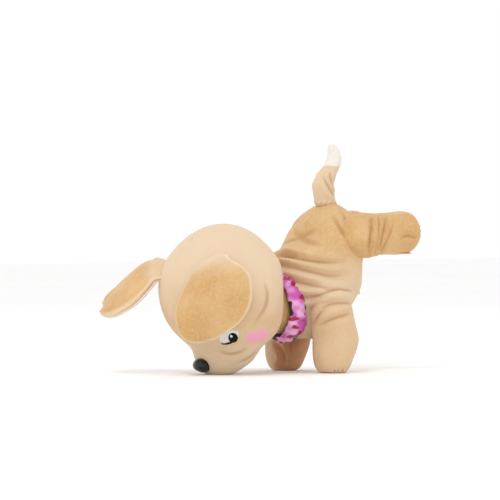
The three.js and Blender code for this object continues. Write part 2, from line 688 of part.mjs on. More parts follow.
function earPose(name) {
  const { at, down, bendDown, bendAcross, lift } = EARS[name];
  const sign = Math.sign(at[1]);
  const along = new THREE.Vector3(0.62, sign * 0.66, 0.42).normalize();
  const hang = new THREE.Vector3(...down).normalize();
  const out = new THREE.Vector3().crossVectors(along, hang).multiplyScalar(sign).normalize();
  if (out.dot(new THREE.Vector3(-0.7, sign * 0.4, 0.5)) < 0) out.negate();
  const root = new THREE.Vector3(...at).addScaledVector(out, lift);
  const mirrored = new THREE.Vector3().crossVectors(along, out).dot(hang) > 0;
  return { root, along, down: hang, out, bendDown, bendAcross, mirrored };
}

function addEars() {
  const { lining, outer } = EAR;
  for (const [name] of SIDES) {
    const pose = earPose(name);
    add(`ear_${name}_lining`, earPanel(pose, 0, lining, 3), WHITE_PLUSH);
    add(`ear_${name}_outer`, earPanel(pose, lining + 2 * GAP, lining + 2 * GAP + outer, 0), TAN_PLUSH);
  }
}

// ---------------------------------------------------------------- tail

// Level sections of the tail: height, centre X, radius. The white tip starts at TIP_FROM.
const TAIL_LEVELS = [
  [198.5, 22, 7], [201, 21, 11], [207, 20, 12.8], [216, 18, 12.9], [226, 17.6, 12.6], [236, 21.5, 12],
  [242, 26.5, 11], [247, 30.5, 10],
];
const TIP_LEVELS = [[247.4, 30.8, 10], [254, 33.5, 9.4], [262, 34, 8], [269, 32, 5.8], [274.5, 30, 2.6]];

function addTail() {
  const stack = (levels) => loft(levels.map(([z, x, r]) =>
    ring(new THREE.Vector3(x, 0, z), AXIS_X, AXIS_Y, r, r, 2, 20)));
  const coilR = 4.2;
  const room = rodZ(TAIL.x, 0, coilR + 2, 190, 212, 20);
  add('tail_plush', stack(TAIL_LEVELS).subtract(room), TAN_PLUSH);
  add('tail_tip', stack(TIP_LEVELS), WHITE_PLUSH);
  add('tail_bracket',
    box(TAIL.x - 8, TAIL.x + 8, -8, 8, 184 + GAP, 187.5).add(rodZ(TAIL.x, 0, 2.2, 187, 192.5, 12)),
    CHASSIS_PLASTIC);

  class Coil extends THREE.Curve {
    getPoint(share, target = new THREE.Vector3()) {
      const turns = 3;
      const angle = share * turns * 2 * Math.PI;
      return target.set(TAIL.x + coilR * Math.cos(angle), coilR * Math.sin(angle), 195.2 + share * 14);
    }
  }
  const wire = new THREE.Shape();
  wire.absarc(0, 0, 0.7, 0, 2 * Math.PI, false);
  const spring = new THREE.ExtrudeGeometry(wire,
    { steps: 33, curveSegments: 3, bevelEnabled: false, extrudePath: new Coil() });
  add('tail_spring', solid(spring), STEEL);
}

// ---------------------------------------------------------------- the toy

addTorso();
addChassis();
addElectronics();
for (const [name, train] of Object.entries(TRAINS)) addTrain(name, train);
addFrontLegs();
addHindLegs();
addNeck();
addHead();
addEars();
addTail();

export default toy;
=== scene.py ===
"""An interactive plush puppy in a handstand: stuffed skins, satin scarf and embroidered face."""
import math

import bpy
import numpy as np
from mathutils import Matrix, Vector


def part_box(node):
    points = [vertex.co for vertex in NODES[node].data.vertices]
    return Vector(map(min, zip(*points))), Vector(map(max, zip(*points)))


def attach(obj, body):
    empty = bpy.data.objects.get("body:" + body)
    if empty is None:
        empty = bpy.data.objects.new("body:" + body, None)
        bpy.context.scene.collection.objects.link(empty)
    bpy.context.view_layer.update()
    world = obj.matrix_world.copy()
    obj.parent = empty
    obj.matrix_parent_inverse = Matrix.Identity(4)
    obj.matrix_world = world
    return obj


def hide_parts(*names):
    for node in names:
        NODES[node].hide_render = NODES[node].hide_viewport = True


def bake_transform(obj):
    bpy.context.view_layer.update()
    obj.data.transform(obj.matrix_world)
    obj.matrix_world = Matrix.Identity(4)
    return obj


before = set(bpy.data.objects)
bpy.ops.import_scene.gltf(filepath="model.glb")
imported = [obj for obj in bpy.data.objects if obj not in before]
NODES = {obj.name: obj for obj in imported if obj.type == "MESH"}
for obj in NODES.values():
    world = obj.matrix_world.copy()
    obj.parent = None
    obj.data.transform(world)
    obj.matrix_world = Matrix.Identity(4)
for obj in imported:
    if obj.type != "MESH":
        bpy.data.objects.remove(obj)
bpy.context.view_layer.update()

import openvdb as vdb
from mathutils import Vector
from mathutils.bvhtree import BVHTree

# The toy is modelled in millimetres from the floor point between its front paws,
# with the hip axle at HIP.
HIP = np.array([32.0, 0.0, 162.0])
HEAD = np.array([-131.0, 0.0, 95.0])
TAIL = np.array([24.0, 0.0, 196.0])
MM = 0.001
hip_low, hip_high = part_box("hip_axle")
ORIGIN = (np.array(hip_low) + np.array(hip_high)) / (2 * MM) - HIP

PITCH = math.radians(60)
FORWARD = np.array([-math.cos(PITCH), 0, -math.sin(PITCH)])
CROWN = np.array([-math.sin(PITCH), 0, math.cos(PITCH)])
LEFT = np.array([0.0, -1.0, 0.0])
SIDES = {"left": -1, "right": 1}
LEG_Y = 49
# The horizontal line of sight from which the near side shows best.
SIGHT = np.array([0.574, 0.819, 0.0])
ACROSS = np.array([0.819, -0.574, 0.0])
UP = np.array([0.0, 0.0, 1.0])
OUTSIDE = 400  # a distance from which a ray starts clear of the toy


def metres(points):
    return (np.asarray(points, float) + ORIGIN) * MM


def spot(point):
    return tuple(float(c) for c in metres(point))


def on_head(forward, up, left):
    return HEAD + FORWARD * forward + CROWN * up + LEFT * left


def unit(vector):
    return np.asarray(vector, float) / np.linalg.norm(vector)


# ---- meshes


def make(name, points, faces, material=None):
    """A smooth mesh object from points in millimetres."""
    mesh = bpy.data.meshes.new(name)
    mesh.from_pydata(metres(points).tolist(), [], [list(map(int, face)) for face in faces])
    mesh.update()
    mesh.polygons.foreach_set("use_smooth", [True] * len(mesh.polygons))
    obj = bpy.data.objects.new(name, mesh)
    bpy.context.scene.collection.objects.link(obj)
    if material:
        mesh.materials.append(material)
    return obj


def points_of(obj):
    co = np.empty(len(obj.data.vertices) * 3, np.float32)
    obj.data.vertices.foreach_get("co", co)
    return co.reshape(-1, 3).astype(float) / MM - ORIGIN


def put_points(obj, points):
    obj.data.vertices.foreach_set("co", metres(points).astype(np.float32).ravel())
    obj.data.update()


def normals_of(obj):
    normals = np.empty(len(obj.data.vertices) * 3, np.float32)
    obj.data.vertex_normals.foreach_get("vector", normals)
    return normals.reshape(-1, 3).astype(float)


def mask(obj, name, values):
    """Stores a share from 0 to 1 at every vertex, for the material to read."""
    layer = obj.data.attributes.get(name) or obj.data.attributes.new(name, "FLOAT", "POINT")
    layer.data.foreach_set("value", np.clip(values, 0, 1).astype(np.float32))


def bake(obj):
    """Applies the modifiers."""
    graph = bpy.context.evaluated_depsgraph_get()
    mesh = bpy.data.meshes.new_from_object(obj.evaluated_get(graph))
    obj.modifiers.clear()
    obj.data = mesh
    mesh.polygons.foreach_set("use_smooth", [True] * len(mesh.polygons))


def refine(obj):
    modifier = obj.modifiers.new("refine", "SUBSURF")
    modifier.levels = modifier.render_levels = 1
    bake(obj)


def carve(obj, cutter):
    """Cuts the closed cutter out of obj and deletes the cutter."""
    modifier = obj.modifiers.new("carve", "BOOLEAN")
    modifier.operation = "DIFFERENCE"
    modifier.solver = "EXACT"
    modifier.use_self = True
    modifier.object = cutter
    bake(obj)
    bpy.data.objects.remove(cutter)


def tree_of(obj, mirror=1):
    """A tree for casting rays at a skin, or at its mirror image when mirror is -1."""
    points = points_of(obj) * np.array([1, mirror, 1])
    return BVHTree.FromPolygons([Vector(p) for p in points],
                                [tuple(face.vertices) for face in obj.data.polygons])


def lattice(rows, columns, wrap=False, start=0):
    """Quads between the points of a grid stored row by row."""
    faces = []
    for i in range(rows - 1):
        for j in range(columns if wrap else columns - 1):
            k = (j + 1) % columns
            faces.append((start + i * columns + j, start + i * columns + k,
                          start + (i + 1) * columns + k, start + (i + 1) * columns + j))
    return faces


def slab_faces(rows, columns):
    """Faces of a slab: one grid of points, a second one behind it and the rim between them."""
    n = rows * columns
    faces = lattice(rows, columns)
    faces += [tuple(n + k for k in reversed(face)) for face in lattice(rows, columns)]
    rim = list(range(columns))
    rim += [i * columns + columns - 1 for i in range(1, rows)]
    rim += [(rows - 1) * columns + j for j in range(columns - 2, -1, -1)]
    rim += [i * columns for i in range(rows - 2, 0, -1)]
    return faces + [(a, n + a, n + b, b) for a, b in zip(rim, rim[1:] + rim[:1])]


def outward(points, faces):
    """The faces turned so that they enclose a positive volume."""
    p = np.asarray(points)
    volume = 0.0
    for face in faces:
        for k in range(1, len(face) - 1):
            volume += np.dot(p[face[0]], np.cross(p[face[k]], p[face[k + 1]]))
    return faces if volume > 0 else [tuple(reversed(face)) for face in faces]


# ---- clay


def blobs(p, centre, radii, axes=None):
    """Signed distance, roughly, to an ellipsoid whose own axes are the rows of axes."""
    q = p - np.asarray(centre, float)
    if axes is not None:
        q = q @ np.asarray(axes).T
    r = np.asarray(radii, float)
    inner = np.linalg.norm(q / r, axis=-1)
    slope = np.linalg.norm(q / (r * r), axis=-1)
    return inner * (inner - 1) / np.maximum(slope, 1e-6)


def limb(p, spine, radii):
    """Signed distance to a tapering round limb along a spine."""
    best = np.full(p.shape[:-1], 1e9)
    for a, b, ra, rb in zip(spine[:-1], spine[1:], radii[:-1], radii[1:]):
        a, d = np.asarray(a, float), np.subtract(b, a).astype(float)
        t = np.clip(((p - a) @ d) / (d @ d), 0, 1)
        away = np.linalg.norm(p - a - t[..., None] * d, axis=-1) - (ra + (rb - ra) * t)
        best = np.minimum(best, away)
    return best


def melt(a, b, k):
    """The union of two shapes with a soft fillet of size k."""
    h = np.clip(0.5 + 0.5 * (b - a) / k, 0, 1)
    return b + (a - b) * h - k * h * (1 - h)


def eased(table, spacing=0.5, spread=3.0):
    """A table of levels resampled closely and smoothed."""
    table = np.asarray(table, float)
    at = np.arange(table[0, 0], table[-1, 0] + spacing, spacing)
    reach = int(4 * spread / spacing)
    weights = np.exp(-0.5 * (np.arange(-reach, reach + 1) * spacing / spread) ** 2)
    weights /= weights.sum()
    columns = [at]
    for k in range(1, table.shape[1]):
        column = np.pad(np.interp(at, table[:, 0], table[:, k]), reach, mode="edge")
        columns.append(np.convolve(column, weights, "valid"))
    return np.stack(columns, 1)


def turned(p, table, axis, centre_y, spread=2.0):
    """A shape turned about X (axis 0) or Z (axis 2): rows of position, centre and radius."""
    rows = eased(table, spread=spread)
    along = p[..., axis]
    other = p[..., 2 - axis] - np.interp(along, rows[:, 0], rows[:, 1])
    radius = np.interp(along, rows[:, 0], rows[:, 2])
    d = np.hypot(other, p[..., 1] - centre_y) - radius
    return np.maximum(d, np.maximum(rows[0, 0] - along, along - rows[-1, 0]))


def across_of(p, side):
    """How far across the view each point lies, with the far side seen as its mirror image."""
    return p[..., 0] * ACROSS[0] + side * p[..., 1] * -ACROSS[1]


class Clay:
    """A block of signed distances that turns into a mesh of even quads."""

    def __init__(self, low, high, step):
        self.low, self.step = np.array(low, float), step
        spans = [np.arange(a, b + step, step) for a, b in zip(low, high)]
        self.p = np.stack(np.meshgrid(*spans, indexing="ij"), -1)
        self.d = np.full(self.p.shape[:3], 1e3)

    def add(self, shape, k=0.5):
        self.d = melt(self.d, shape, k)

    def cut(self, shape, k=0.5):
        self.d = -melt(-self.d, shape, k)

    def mesh(self, name, material):
        grid = vdb.FloatGrid(background=3.0)
        grid.copyFromArray(np.clip(self.d / self.step, -3, 3))
        points, quads = grid.convertToQuads()
        points = np.asarray(points, float) * self.step + self.low
        faces = outward(points, [tuple(int(i) for i in quad) for quad in quads])
        return make(name, points, faces, material)


def near_line(p, line):
    """Distance from each point to a polyline, and how far along it the nearest place is, 0 to 1."""
    line = np.asarray(line, float)
    runs = np.linalg.norm(np.diff(line, axis=0), axis=1)
    total, done = runs.sum(), 0.0
    best, share = np.full(len(p), 1e9), np.zeros(len(p))
    for a, b, run in zip(line[:-1], line[1:], runs):
        t = np.clip(((p - a) @ (b - a)) / run ** 2, 0, 1)
        d = np.linalg.norm(p - a - t[:, None] * (b - a), axis=1)
        closer = d < best
        best[closer] = d[closer]
        share[closer] = (done + t[closer] * run) / total
        done += run
    return best, share


def rounded(line, count=24):
    """A polyline resampled as a smooth curve through its points."""
    line = np.asarray(line, float)
    if len(line) < 3:
        return line
    ends = np.vstack([2 * line[0] - line[1], line, 2 * line[-1] - line[-2]])
    out = []
    for s in np.linspace(0, len(line) - 1 - 1e-6, count):
        i, t = int(s), s - int(s)
        a, b, c, d = ends[i:i + 4]
        out.append(0.5 * (2 * b + (c - a) * t + (2 * a - 5 * b + 4 * c - d) * t * t
                          + (3 * b - a - 3 * c + d) * t ** 3))
    return np.array(out)


def stuff(obj, held, pressure=4.0, cap=4.0, frames=20):
    """Inflates a skin as cloth. held is each vertex's grip from 0 to 1; cap limits its travel."""
    scene = bpy.context.scene
    grip = obj.vertex_groups.new(name="grip")
    for i in np.nonzero(held > 0.02)[0]:
        grip.add([int(i)], float(held[i]), "REPLACE")
    modifier = obj.modifiers.new("cloth", "CLOTH")
    settings = modifier.settings
    settings.quality = 5
    settings.mass = 0.3
    settings.use_pressure = True
    settings.uniform_pressure_force = pressure
    settings.effector_weights.gravity = 0
    settings.tension_stiffness = settings.compression_stiffness = 20
    settings.bending_stiffness = 0.6
    settings.vertex_group_mass = "grip"
    modifier.point_cache.frame_start = 1
    modifier.point_cache.frame_end = frames
    before = points_of(obj)
    for step in range(1, frames + 1):
        scene.frame_set(step)
    graph = bpy.context.evaluated_depsgraph_get()
    swollen = obj.evaluated_get(graph).to_mesh()
    co = np.empty(len(swollen.vertices) * 3, np.float32)
    swollen.vertices.foreach_get("co", co)
    obj.evaluated_get(graph).to_mesh_clear()
    move = co.reshape(-1, 3) / MM - ORIGIN - before
    reach = np.maximum(np.linalg.norm(move, axis=1, keepdims=True), 1e-9)
    obj.modifiers.clear()
    obj.vertex_groups.clear()
    scene.frame_set(1)
    put_points(obj, before + move * np.minimum(1, cap / reach))


def press(obj, creases):
    """Folds the skin in along each crease (line, width, depth) with soft rolls beside it."""
    p, n = points_of(obj), normals_of(obj)
    shift, shade = np.zeros(len(p)), np.zeros(len(p))
    for line, width, depth in creases:
        d, share = near_line(p, rounded(line))
        fade = np.sin(np.pi * np.clip(share, 0.03, 0.97)) ** 0.6
        fade *= np.exp(-(d / (width * 6)) ** 4)
        shift += fade * depth * (0.55 * np.exp(-((d / width - 2.0) / 1.1) ** 2)
                                 - np.exp(-np.abs(d / width) ** 1.4))
        shade = np.maximum(shade, fade * np.exp(-(d / (width * 0.55)) ** 2))
    put_points(obj, p + n * shift[:, None])
    # The shade mask is painted shade: darker colour down in each crease.
    mask(obj, "painted_shade", shade)


def waves(p, size, seed):
    """Soft random rise and fall over a skin, about size millimetres across."""
    rng = np.random.default_rng(seed)
    total = np.zeros(len(p))
    for _ in range(10):
        direction = unit(rng.normal(size=3))
        total += np.sin((p @ direction) * 2 * np.pi / (size * rng.uniform(0.7, 1.6))
                        + rng.uniform(0, 2 * np.pi))
    return total / 10


def rippled(obj, height, size, seed):
    """The points of a skin moved along its normals by soft waves."""
    p = points_of(obj)
    return p + normals_of(obj) * (height * waves(p, size, seed))[:, None]


def mirrored(line):
    return [(x, -y, z) for x, y, z in line]


def cast_line(tree, line, side=-1):
    """A line drawn as its side is seen, in (across, up) pairs, as points of the skin."""
    found = []
    for across, up in rounded(line, 16):
        start = ACROSS * across + UP * up - SIGHT * OUTSIDE
        hit = tree.ray_cast(Vector(start), Vector(SIGHT))[0]
        if hit is not None:
            found.append((hit.x, hit.y, hit.z))
    return mirrored(found) if side > 0 else found


def creases_on(obj, drawn, sides=(-1, 1)):
    """Creases (line, width, depth) drawn as seen, laid on both sides of a skin."""
    tree = tree_of(obj)
    out = []
    for line, width, depth in drawn:
        for side in sides:
            laid_out = cast_line(tree, line, side)
            if len(laid_out) > 2:
                out.append((laid_out, width, depth))
    return out


def gripped(points, creases, reach=3.5):
    """How firmly each vertex is held by the stitches and folds, from 0 to 1."""
    grip = np.zeros(len(points))
    for line, _, _ in creases:
        grip = np.maximum(grip, np.exp(-(near_line(points, rounded(line))[0] / reach) ** 4))
    return grip


# ---- materials


def linear(code):
    """A #rrggbb colour as linear light."""
    values = [int(code[i:i + 2], 16) / 255 for i in (1, 3, 5)]
    light = [v / 12.92 if v < 0.04045 else ((v + 0.055) / 1.055) ** 2.4 for v in values]
    return tuple(light) + (1.0,)


class Finish:
    """A procedural material built from nodes in object coordinates."""

    def __init__(self, name):
        self.material = bpy.data.materials.new(name)
        self.material.use_nodes = True
        self.tree = self.material.node_tree
        self.shader = self.tree.nodes["Principled BSDF"]
        self.place = self.tree.nodes.new("ShaderNodeTexCoord").outputs["Object"]

    def put(self, target, value):
        if isinstance(value, bpy.types.NodeSocket):
            self.tree.links.new(value, target)
        else:
            target.default_value = value

    def set(self, **values):
        names = {"colour": "Base Color", "rough": "Roughness", "metal": "Metallic",
                 "sheen": "Sheen Weight", "sheen_rough": "Sheen Roughness", "tint": "Sheen Tint",
                 "coat": "Coat Weight", "gloss": "Specular IOR Level", "bump": "Normal",
                 "stretch": "Anisotropic"}
        for key, value in values.items():
            self.put(self.shader.inputs[names[key]], value)

    def node(self, kind, **values):
        node = self.tree.nodes.new("ShaderNode" + kind)
        for name, value in values.items():
            self.put(node.inputs[name], value)
        return node.outputs

    def noise(self, scale, detail=2.0, rough=0.5, place=None, distortion=0.0):
        return self.node("TexNoise", Vector=place or self.place, Scale=scale, Detail=detail,
                         Roughness=rough, Distortion=distortion)["Fac"]

    def cells(self, scale):
        return self.node("TexVoronoi", Vector=self.place, Scale=scale)["Distance"]

    def wave(self, scale, place, distortion):
        return self.node("TexWave", Vector=place, Scale=scale, Distortion=distortion)["Fac"]

    def moved(self, rotation=(0, 0, 0), scale=(1, 1, 1)):
        return self.node("Mapping", Vector=self.place, Rotation=rotation, Scale=scale)["Vector"]

    def share(self, name):
        node = self.tree.nodes.new("ShaderNodeAttribute")
        node.attribute_name = name
        return node.outputs["Fac"]

    def span(self, value, low, high, to_low=0.0, to_high=1.0):
        node = self.tree.nodes.new("ShaderNodeMapRange")
        node.interpolation_type = "SMOOTHSTEP"
        self.put(node.inputs["Value"], value)
        for name, number in zip(("From Min", "From Max", "To Min", "To Max"),
                                (low, high, to_low, to_high)):
            node.inputs[name].default_value = number
        return node.outputs["Result"]

    def sum(self, a, b, weight):
        node = self.tree.nodes.new("ShaderNodeMath")
        node.operation = "MULTIPLY_ADD"
        self.put(node.inputs[0], b)
        self.put(node.inputs[1], weight)
        self.put(node.inputs[2], a)
        return node.outputs[0]

    def mix(self, share, a, b):
        node = self.tree.nodes.new("ShaderNodeMix")
        node.data_type = "RGBA"
        self.put(node.inputs["Factor"], share)
        self.put(node.inputs[6], a)
        self.put(node.inputs[7], b)
        return node.outputs[2]

    def raised(self, height, distance, strength=1.0):
        return self.node("Bump", Height=height, Strength=strength, Distance=distance)["Normal"]


def plush(name, base, deep, pale, tint="#fff2df"):
    """Short-pile velboa: soft nap, pale tips, painted shade down in the folds and on the legs'
    inner sides, and painted light in the paler tones.
    """
    f = Finish(name)
    clumps = f.noise(330, 3, 0.6)
    pile = f.noise(1500, 2, 0.6)
    patches = f.noise(26, 2, 0.55)
    colour = f.mix(f.span(patches, 0.35, 0.7, 0.0, 0.4), linear(base), linear(pale))
    colour = f.mix(f.span(clumps, 0.35, 0.72, 0.0, 0.35), colour, linear(pale))
    colour = f.mix(f.span(pile, 0.3, 0.55, 0.28, 0.0), colour, linear(deep))
    # These masks paint shade down in the folds and on the lower inner sides of the front legs, a
    # highlight along the ear rims, and light in the cream tone, which is partly cream fabric; the
    # blush is the cheeks' own pink.
    for share, low, high, most, code in (
            ("cream_and_painted_light", 0.0, 1.0, 0.82, "#e0cbb0"), ("rim", 0.0, 1.0, 0.55, "#f0dec4"),
            ("painted_shade", 0.05, 1.0, 0.42, deep), ("inner_leg_shade", 0.1, 0.9, 0.7, "#b0704c"),
            ("blush", 0.0, 0.9, 0.9, "#f4a3c2")):
        colour = f.mix(f.span(f.share(share), low, high, 0.0, most), colour, linear(code))
    height = f.sum(pile, clumps, 1.3)
    f.set(colour=colour, rough=0.92, gloss=0.18, bump=f.raised(height, 0.0006, 0.55))
    f.set(sheen=0.35, sheen_rough=0.45, tint=linear(tint))
    return f.material


def satin():
    """Slippery satin printed with loose magenta and dark blotches."""
    f = Finish("scarf_satin_print")
    cloud = f.noise(58, 1, 0.4, distortion=0.9)
    dots = f.noise(74, 0, 0.4, place=f.moved((0.4, 1.1, 0.2)))
    colour = f.mix(f.span(f.noise(44, 1), 0.38, 0.6), linear("#f0b4e6"), linear("#cb50b4"))
    colour = f.mix(f.span(cloud, 0.55, 0.58), colour, linear("#ad054a"))
    colour = f.mix(f.span(dots, 0.7, 0.715), colour, linear("#1c060e"))
    threads = f.wave(900, f.moved((0, 0, 0.3)), 0.2)
    f.set(colour=colour, rough=f.span(threads, 0, 1, 0.26, 0.36), gloss=0.7, stretch=0.4)
    f.set(bump=f.raised(threads, 0.00012, 0.5), sheen=0.25, sheen_rough=0.3)
    return f.material


def thread(name, code, pale, direction=(0, 0.6, 0.5), shine=0.5):
    """Satin-stitch embroidery: close parallel threads."""
    f = Finish(name)
    lines = f.wave(700, f.moved(direction), 0.6)
    colour = f.mix(f.span(lines, 0.1, 0.9), linear(code), linear(pale))
    colour = f.mix(f.span(f.noise(900, 2), 0.3, 0.8, 0, 0.3), colour, linear(code))
    f.set(colour=colour, rough=0.42, gloss=shine, bump=f.raised(lines, 0.0003, 0.8))
    f.set(sheen=0.4 * shine)
    return f.material


def plastic(name, code, rough, other=None, grain=900.0, coat=0.0, gloss=0.5):
    """Moulded plastic with a fine grain and a little handling wear."""
    f = Finish(name)
    wear = f.noise(45, 3, 0.6)
    colour = f.mix(f.span(wear, 0.35, 0.8, 0.0, 0.5), linear(code), linear(other or code))
    f.set(colour=colour, rough=f.span(wear, 0.2, 0.8, rough, min(1.0, rough + 0.14)), coat=coat,
          gloss=gloss)
    f.set(bump=f.raised(f.noise(grain, 2), 0.00008, 0.5))
    return f.material


def metal(name, code, rough):
    """Drawn metal with fine streaks."""
    f = Finish(name)
    streaks = f.noise(120, 3, 0.7, place=f.moved(scale=(1, 14, 1)))
    f.set(colour=f.mix(f.span(streaks, 0.3, 0.7), linear(code), linear("#8d8f92")), metal=1.0)
    f.set(rough=f.span(streaks, 0.2, 0.8, rough, rough + 0.18), stretch=0.5)
    f.set(bump=f.raised(streaks, 0.00005, 0.4))
    return f.material


def circuit():
    """Green solder mask with copper tracks and pale pads."""
    f = Finish("board_mask")
    tracks = f.wave(170, f.moved((0.0, 0.0, 0.6)), 3.0)
    pads = f.cells(260)
    colour = f.mix(f.span(tracks, 0.55, 0.62), linear("#0c4a25"), linear("#1c7a41"))
    colour = f.mix(f.span(pads, 0.0, 0.18, 1.0, 0.0), colour, linear("#c9b98a"))
    f.set(colour=colour, rough=0.35, gloss=0.5, bump=f.raised(tracks, 0.0001, 0.6))
    return f.material


def sleeve():
    """Shrink-wrapped cell sleeve with a plain dark band."""
    f = Finish("cell_wrap")
    bands = f.wave(9, f.moved((0, 0, math.pi / 2)), 0.0)
    colour = f.mix(f.span(bands, 0.5, 0.52), linear("#1d5a35"), linear("#c9a24a"))
    f.set(colour=colour, rough=f.span(f.noise(300, 3), 0.2, 0.8, 0.22, 0.36), metal=0.5)
    f.set(bump=f.raised(f.noise(700, 2), 0.00005, 0.4), coat=0.4)
    return f.material


TAN = plush("tan_velboa", "#cfa26a", "#9c6532", "#e6c898")
PALE_TAN = plush("sole_velboa", "#dfbb88", "#ae7740", "#efd8b2")
WHITE = plush("white_velboa", "#e6e0d8", "#b5a896", "#f4efe8")
SATIN = satin()
SEAM = thread("seam_thread", "#a86c33", "#c08a4c")
EYE_WHITE = thread("eye_white_thread", "#e9edf2", "#ffffff")
EYE_BLACK = thread("eye_black_thread", "#040405", "#121216", shine=0.08)
EYE_LINE = thread("eye_line_thread", "#0d0a08", "#2a1e18", shine=0.08)
NOSE = plastic("nose_gloss", "#030303", 0.14, "#08080a", 500, coat=0.6, gloss=0.2)

# ---- torso

TORSO = [  # height, centre X, half length, half width, power of the section
    [40, 0, 20, 18, 2.6], [43, 0, 28, 26, 3], [50, 0, 34, 32, 3.5], [62, -1, 37.5, 35, 3.5],
    [76, 1, 43, 36, 3.4], [84, 3, 48, 40, 3.3], [92, 5, 51.5, 45, 3.2], [100, 6.5, 53, 51, 3.0],
    [112, 8, 54, 55, 2.8], [124, 10, 54, 56, 2.6], [134, 11.5, 53, 56, 2.4],
    [150, 16, 45, 56, 2.2],
    [160, 19, 39, 55, 2.3], [170, 22, 33.5, 51, 2.3], [180, 23, 27.5, 46, 2.3],
    [190, 24, 21, 37, 2.2], [198, 24, 14, 25, 2.1], [202, 24, 6, 11, 2],
]
DOORWAY = {"x": 30.5, "half": 28.2, "bottom": 96.4, "top": 146.6}
FLAP = {"half": 26.4, "bottom": 91.8, "top": 158.2, "back": 53.5}
FLAP_ROWS, FLAP_COLUMNS = 44, 34
QUILTING = 6.5  # how far inside the flap's outline its stitched channel runs
BACK_X = 50.0  # where the torso's skin is taken to be past its outline
CUT_END = 60.0  # how far back the doorway and the switch slot are cut
SWITCH_SLOT = {"x": 41.5, "half": 9.8, "bottom": 146, "top": 157}


def torso_shape(p, shrink):
    rows = eased(TORSO, spread=3.0)
    z = p[..., 2]
    centre, a, b, power = (np.interp(z, rows[:, 0], rows[:, k]) for k in (1, 2, 3, 4))
    a, b = a - shrink, b - shrink
    inside = (np.abs((p[..., 0] - centre) / a) ** power + np.abs(p[..., 1] / b) ** power)
    d = (inside ** (1 / power) - 1) * np.minimum(a, b)
    return np.maximum(d, np.maximum(rows[0, 0] - z, z - rows[-1, 0]))


SEAMS = {"spine": [(-46, 0, 120), (-38, 0, 143), (-20, 0, 163), (-4, 0, 180), (8, 0, 196)],
         "back": [(34, 0, 199), (50, 0, 180), (61, 0, 164)]}

# How far the back corners of the body reach across the view at each height.
WAIST = ([76, 84, 92, 98, 104, 130, 142, 160], [51, 53.5, 57.5, 60, 62, 62.5, 66, 90])
# Folds of the torso: (across, up) as seen, width, depth.
TORSO_FOLDS = [
    ([(-46, 141), (-26, 139), (-5, 135), (18, 132), (40, 132)], 3.4, 5.0),
    ([(-40, 128), (-20, 125), (2, 120), (22, 116), (42, 117)], 3.6, 3.4),
    ([(-36, 113), (-16, 108), (6, 104), (26, 101)], 4.2, 3.8),
    ([(-26, 90), (-6, 90), (8, 93), (20, 100), (34, 102), (52, 98)], 4.2, 4.6),
    ([(36, 196), (44, 178), (52, 164), (60, 152), (65, 140)], 4.2, 4.8),
    ([(24, 190), (34, 172), (46, 156), (54, 146)], 6.0, 2.0),
    ([(-24, 172), (-6, 158), (16, 152)], 9.0, 2.0),
]

clay = Clay((-64, -80, 34), (78, 80, 210), 3.0)
clay.add(torso_shape(clay.p, 0.6))
clay.add(limb(clay.p, [(-12, 0, 92), (-34, 0, 80)], [34, 31]), 8)
for side in SIDES.values():
    clay.add(blobs(clay.p, (-3, side * 44, 93), (27, 27, 19)), 10)
    clay.add(blobs(clay.p, (27, side * 31, 160), (22, 27, 26)), 12)
    clay.cut(np.interp(clay.p[..., 2], WAIST[0], WAIST[1]) - across_of(clay.p, side), 9)
clay.cut(limb(clay.p, [(TAIL[0], 0, 186), (TAIL[0], 0, 220)], [7, 7]), 1)
torso = clay.mesh("torso_skin", TAN)
points = points_of(torso)
folds = creases_on(torso, TORSO_FOLDS)
grip = np.maximum(gripped(points, folds), gripped(points, [(SEAMS["spine"], 0, 0)], 3.0))
grip = np.maximum(grip, points[:, 2] < 80)
stuff(torso, grip, pressure=4.0, cap=3.5)
refine(torso)
folds += [(SEAMS["spine"], 1.6, 1.3), (SEAMS["back"], 1.6, 1.3)]
press(torso, folds)
points = points_of(torso)
put_points(torso, rippled(torso, 1.0, 60, 11))
# Paler lower down: partly cream fabric, partly painted light against the shade there.
mask(torso, "cream_and_painted_light", np.interp(points[:, 2], [70, 110, 135, 165], [0.8, 0.75, 0.45, 0.2]))
skin = tree_of(torso)


def skin_x(y, z):
    """How far back the torso's skin reaches at a height and width."""
    hit = skin.ray_cast(Vector((150, y, z)), Vector((-1, 0, 0)))[0]
    return hit.x if hit else BACK_X


def flap_grid(grow):
    """Y, Z and how deep inside the outline each point of the flap lies, with rounded corners."""
    half, middle = FLAP["half"] + grow, (FLAP["top"] + FLAP["bottom"]) / 2
    tall = (FLAP["top"] - FLAP["bottom"]) / 2 + grow
    out = []
    for i in range(FLAP_ROWS):
        for j in range(FLAP_COLUMNS):
            u, v = 2 * j / (FLAP_COLUMNS - 1) - 1, 2 * i / (FLAP_ROWS - 1) - 1
            bend_u = u * math.sqrt(1 - 0.10 * v * v)
            bend_v = v * math.sqrt(1 - 0.06 * u * u)
            edge = min((1 - abs(u)) * half, (1 - abs(v)) * tall)
            out.append((bend_u * half, middle + bend_v * tall, edge))
    return out


def flap_solid(name, grow, back_gap, outer, material):
    """A curved slab between the flap's back plane and the torso's skin."""
    front, back = [], []
    for y, z, edge in flap_grid(grow):
        x = skin_x(y, z)
        front.append((outer(x, edge), y, z))
        back.append((min(FLAP["back"] - back_gap, x - 4.5), y, z))
    points = front + back
    return make(name, points, outward(points, slab_faces(FLAP_ROWS, FLAP_COLUMNS)), material)


def box_cutter(low, high):
    corners = [(x, y, z) for x in (low[0], high[0]) for y in (low[1], high[1])
               for z in (low[2], high[2])]
    faces = [(0, 1, 3, 2), (4, 6, 7, 5), (0, 4, 5, 1), (2, 3, 7, 6), (0, 2, 6, 4), (1, 5, 7, 3)]
    return make("cutter", corners, outward(corners, faces))


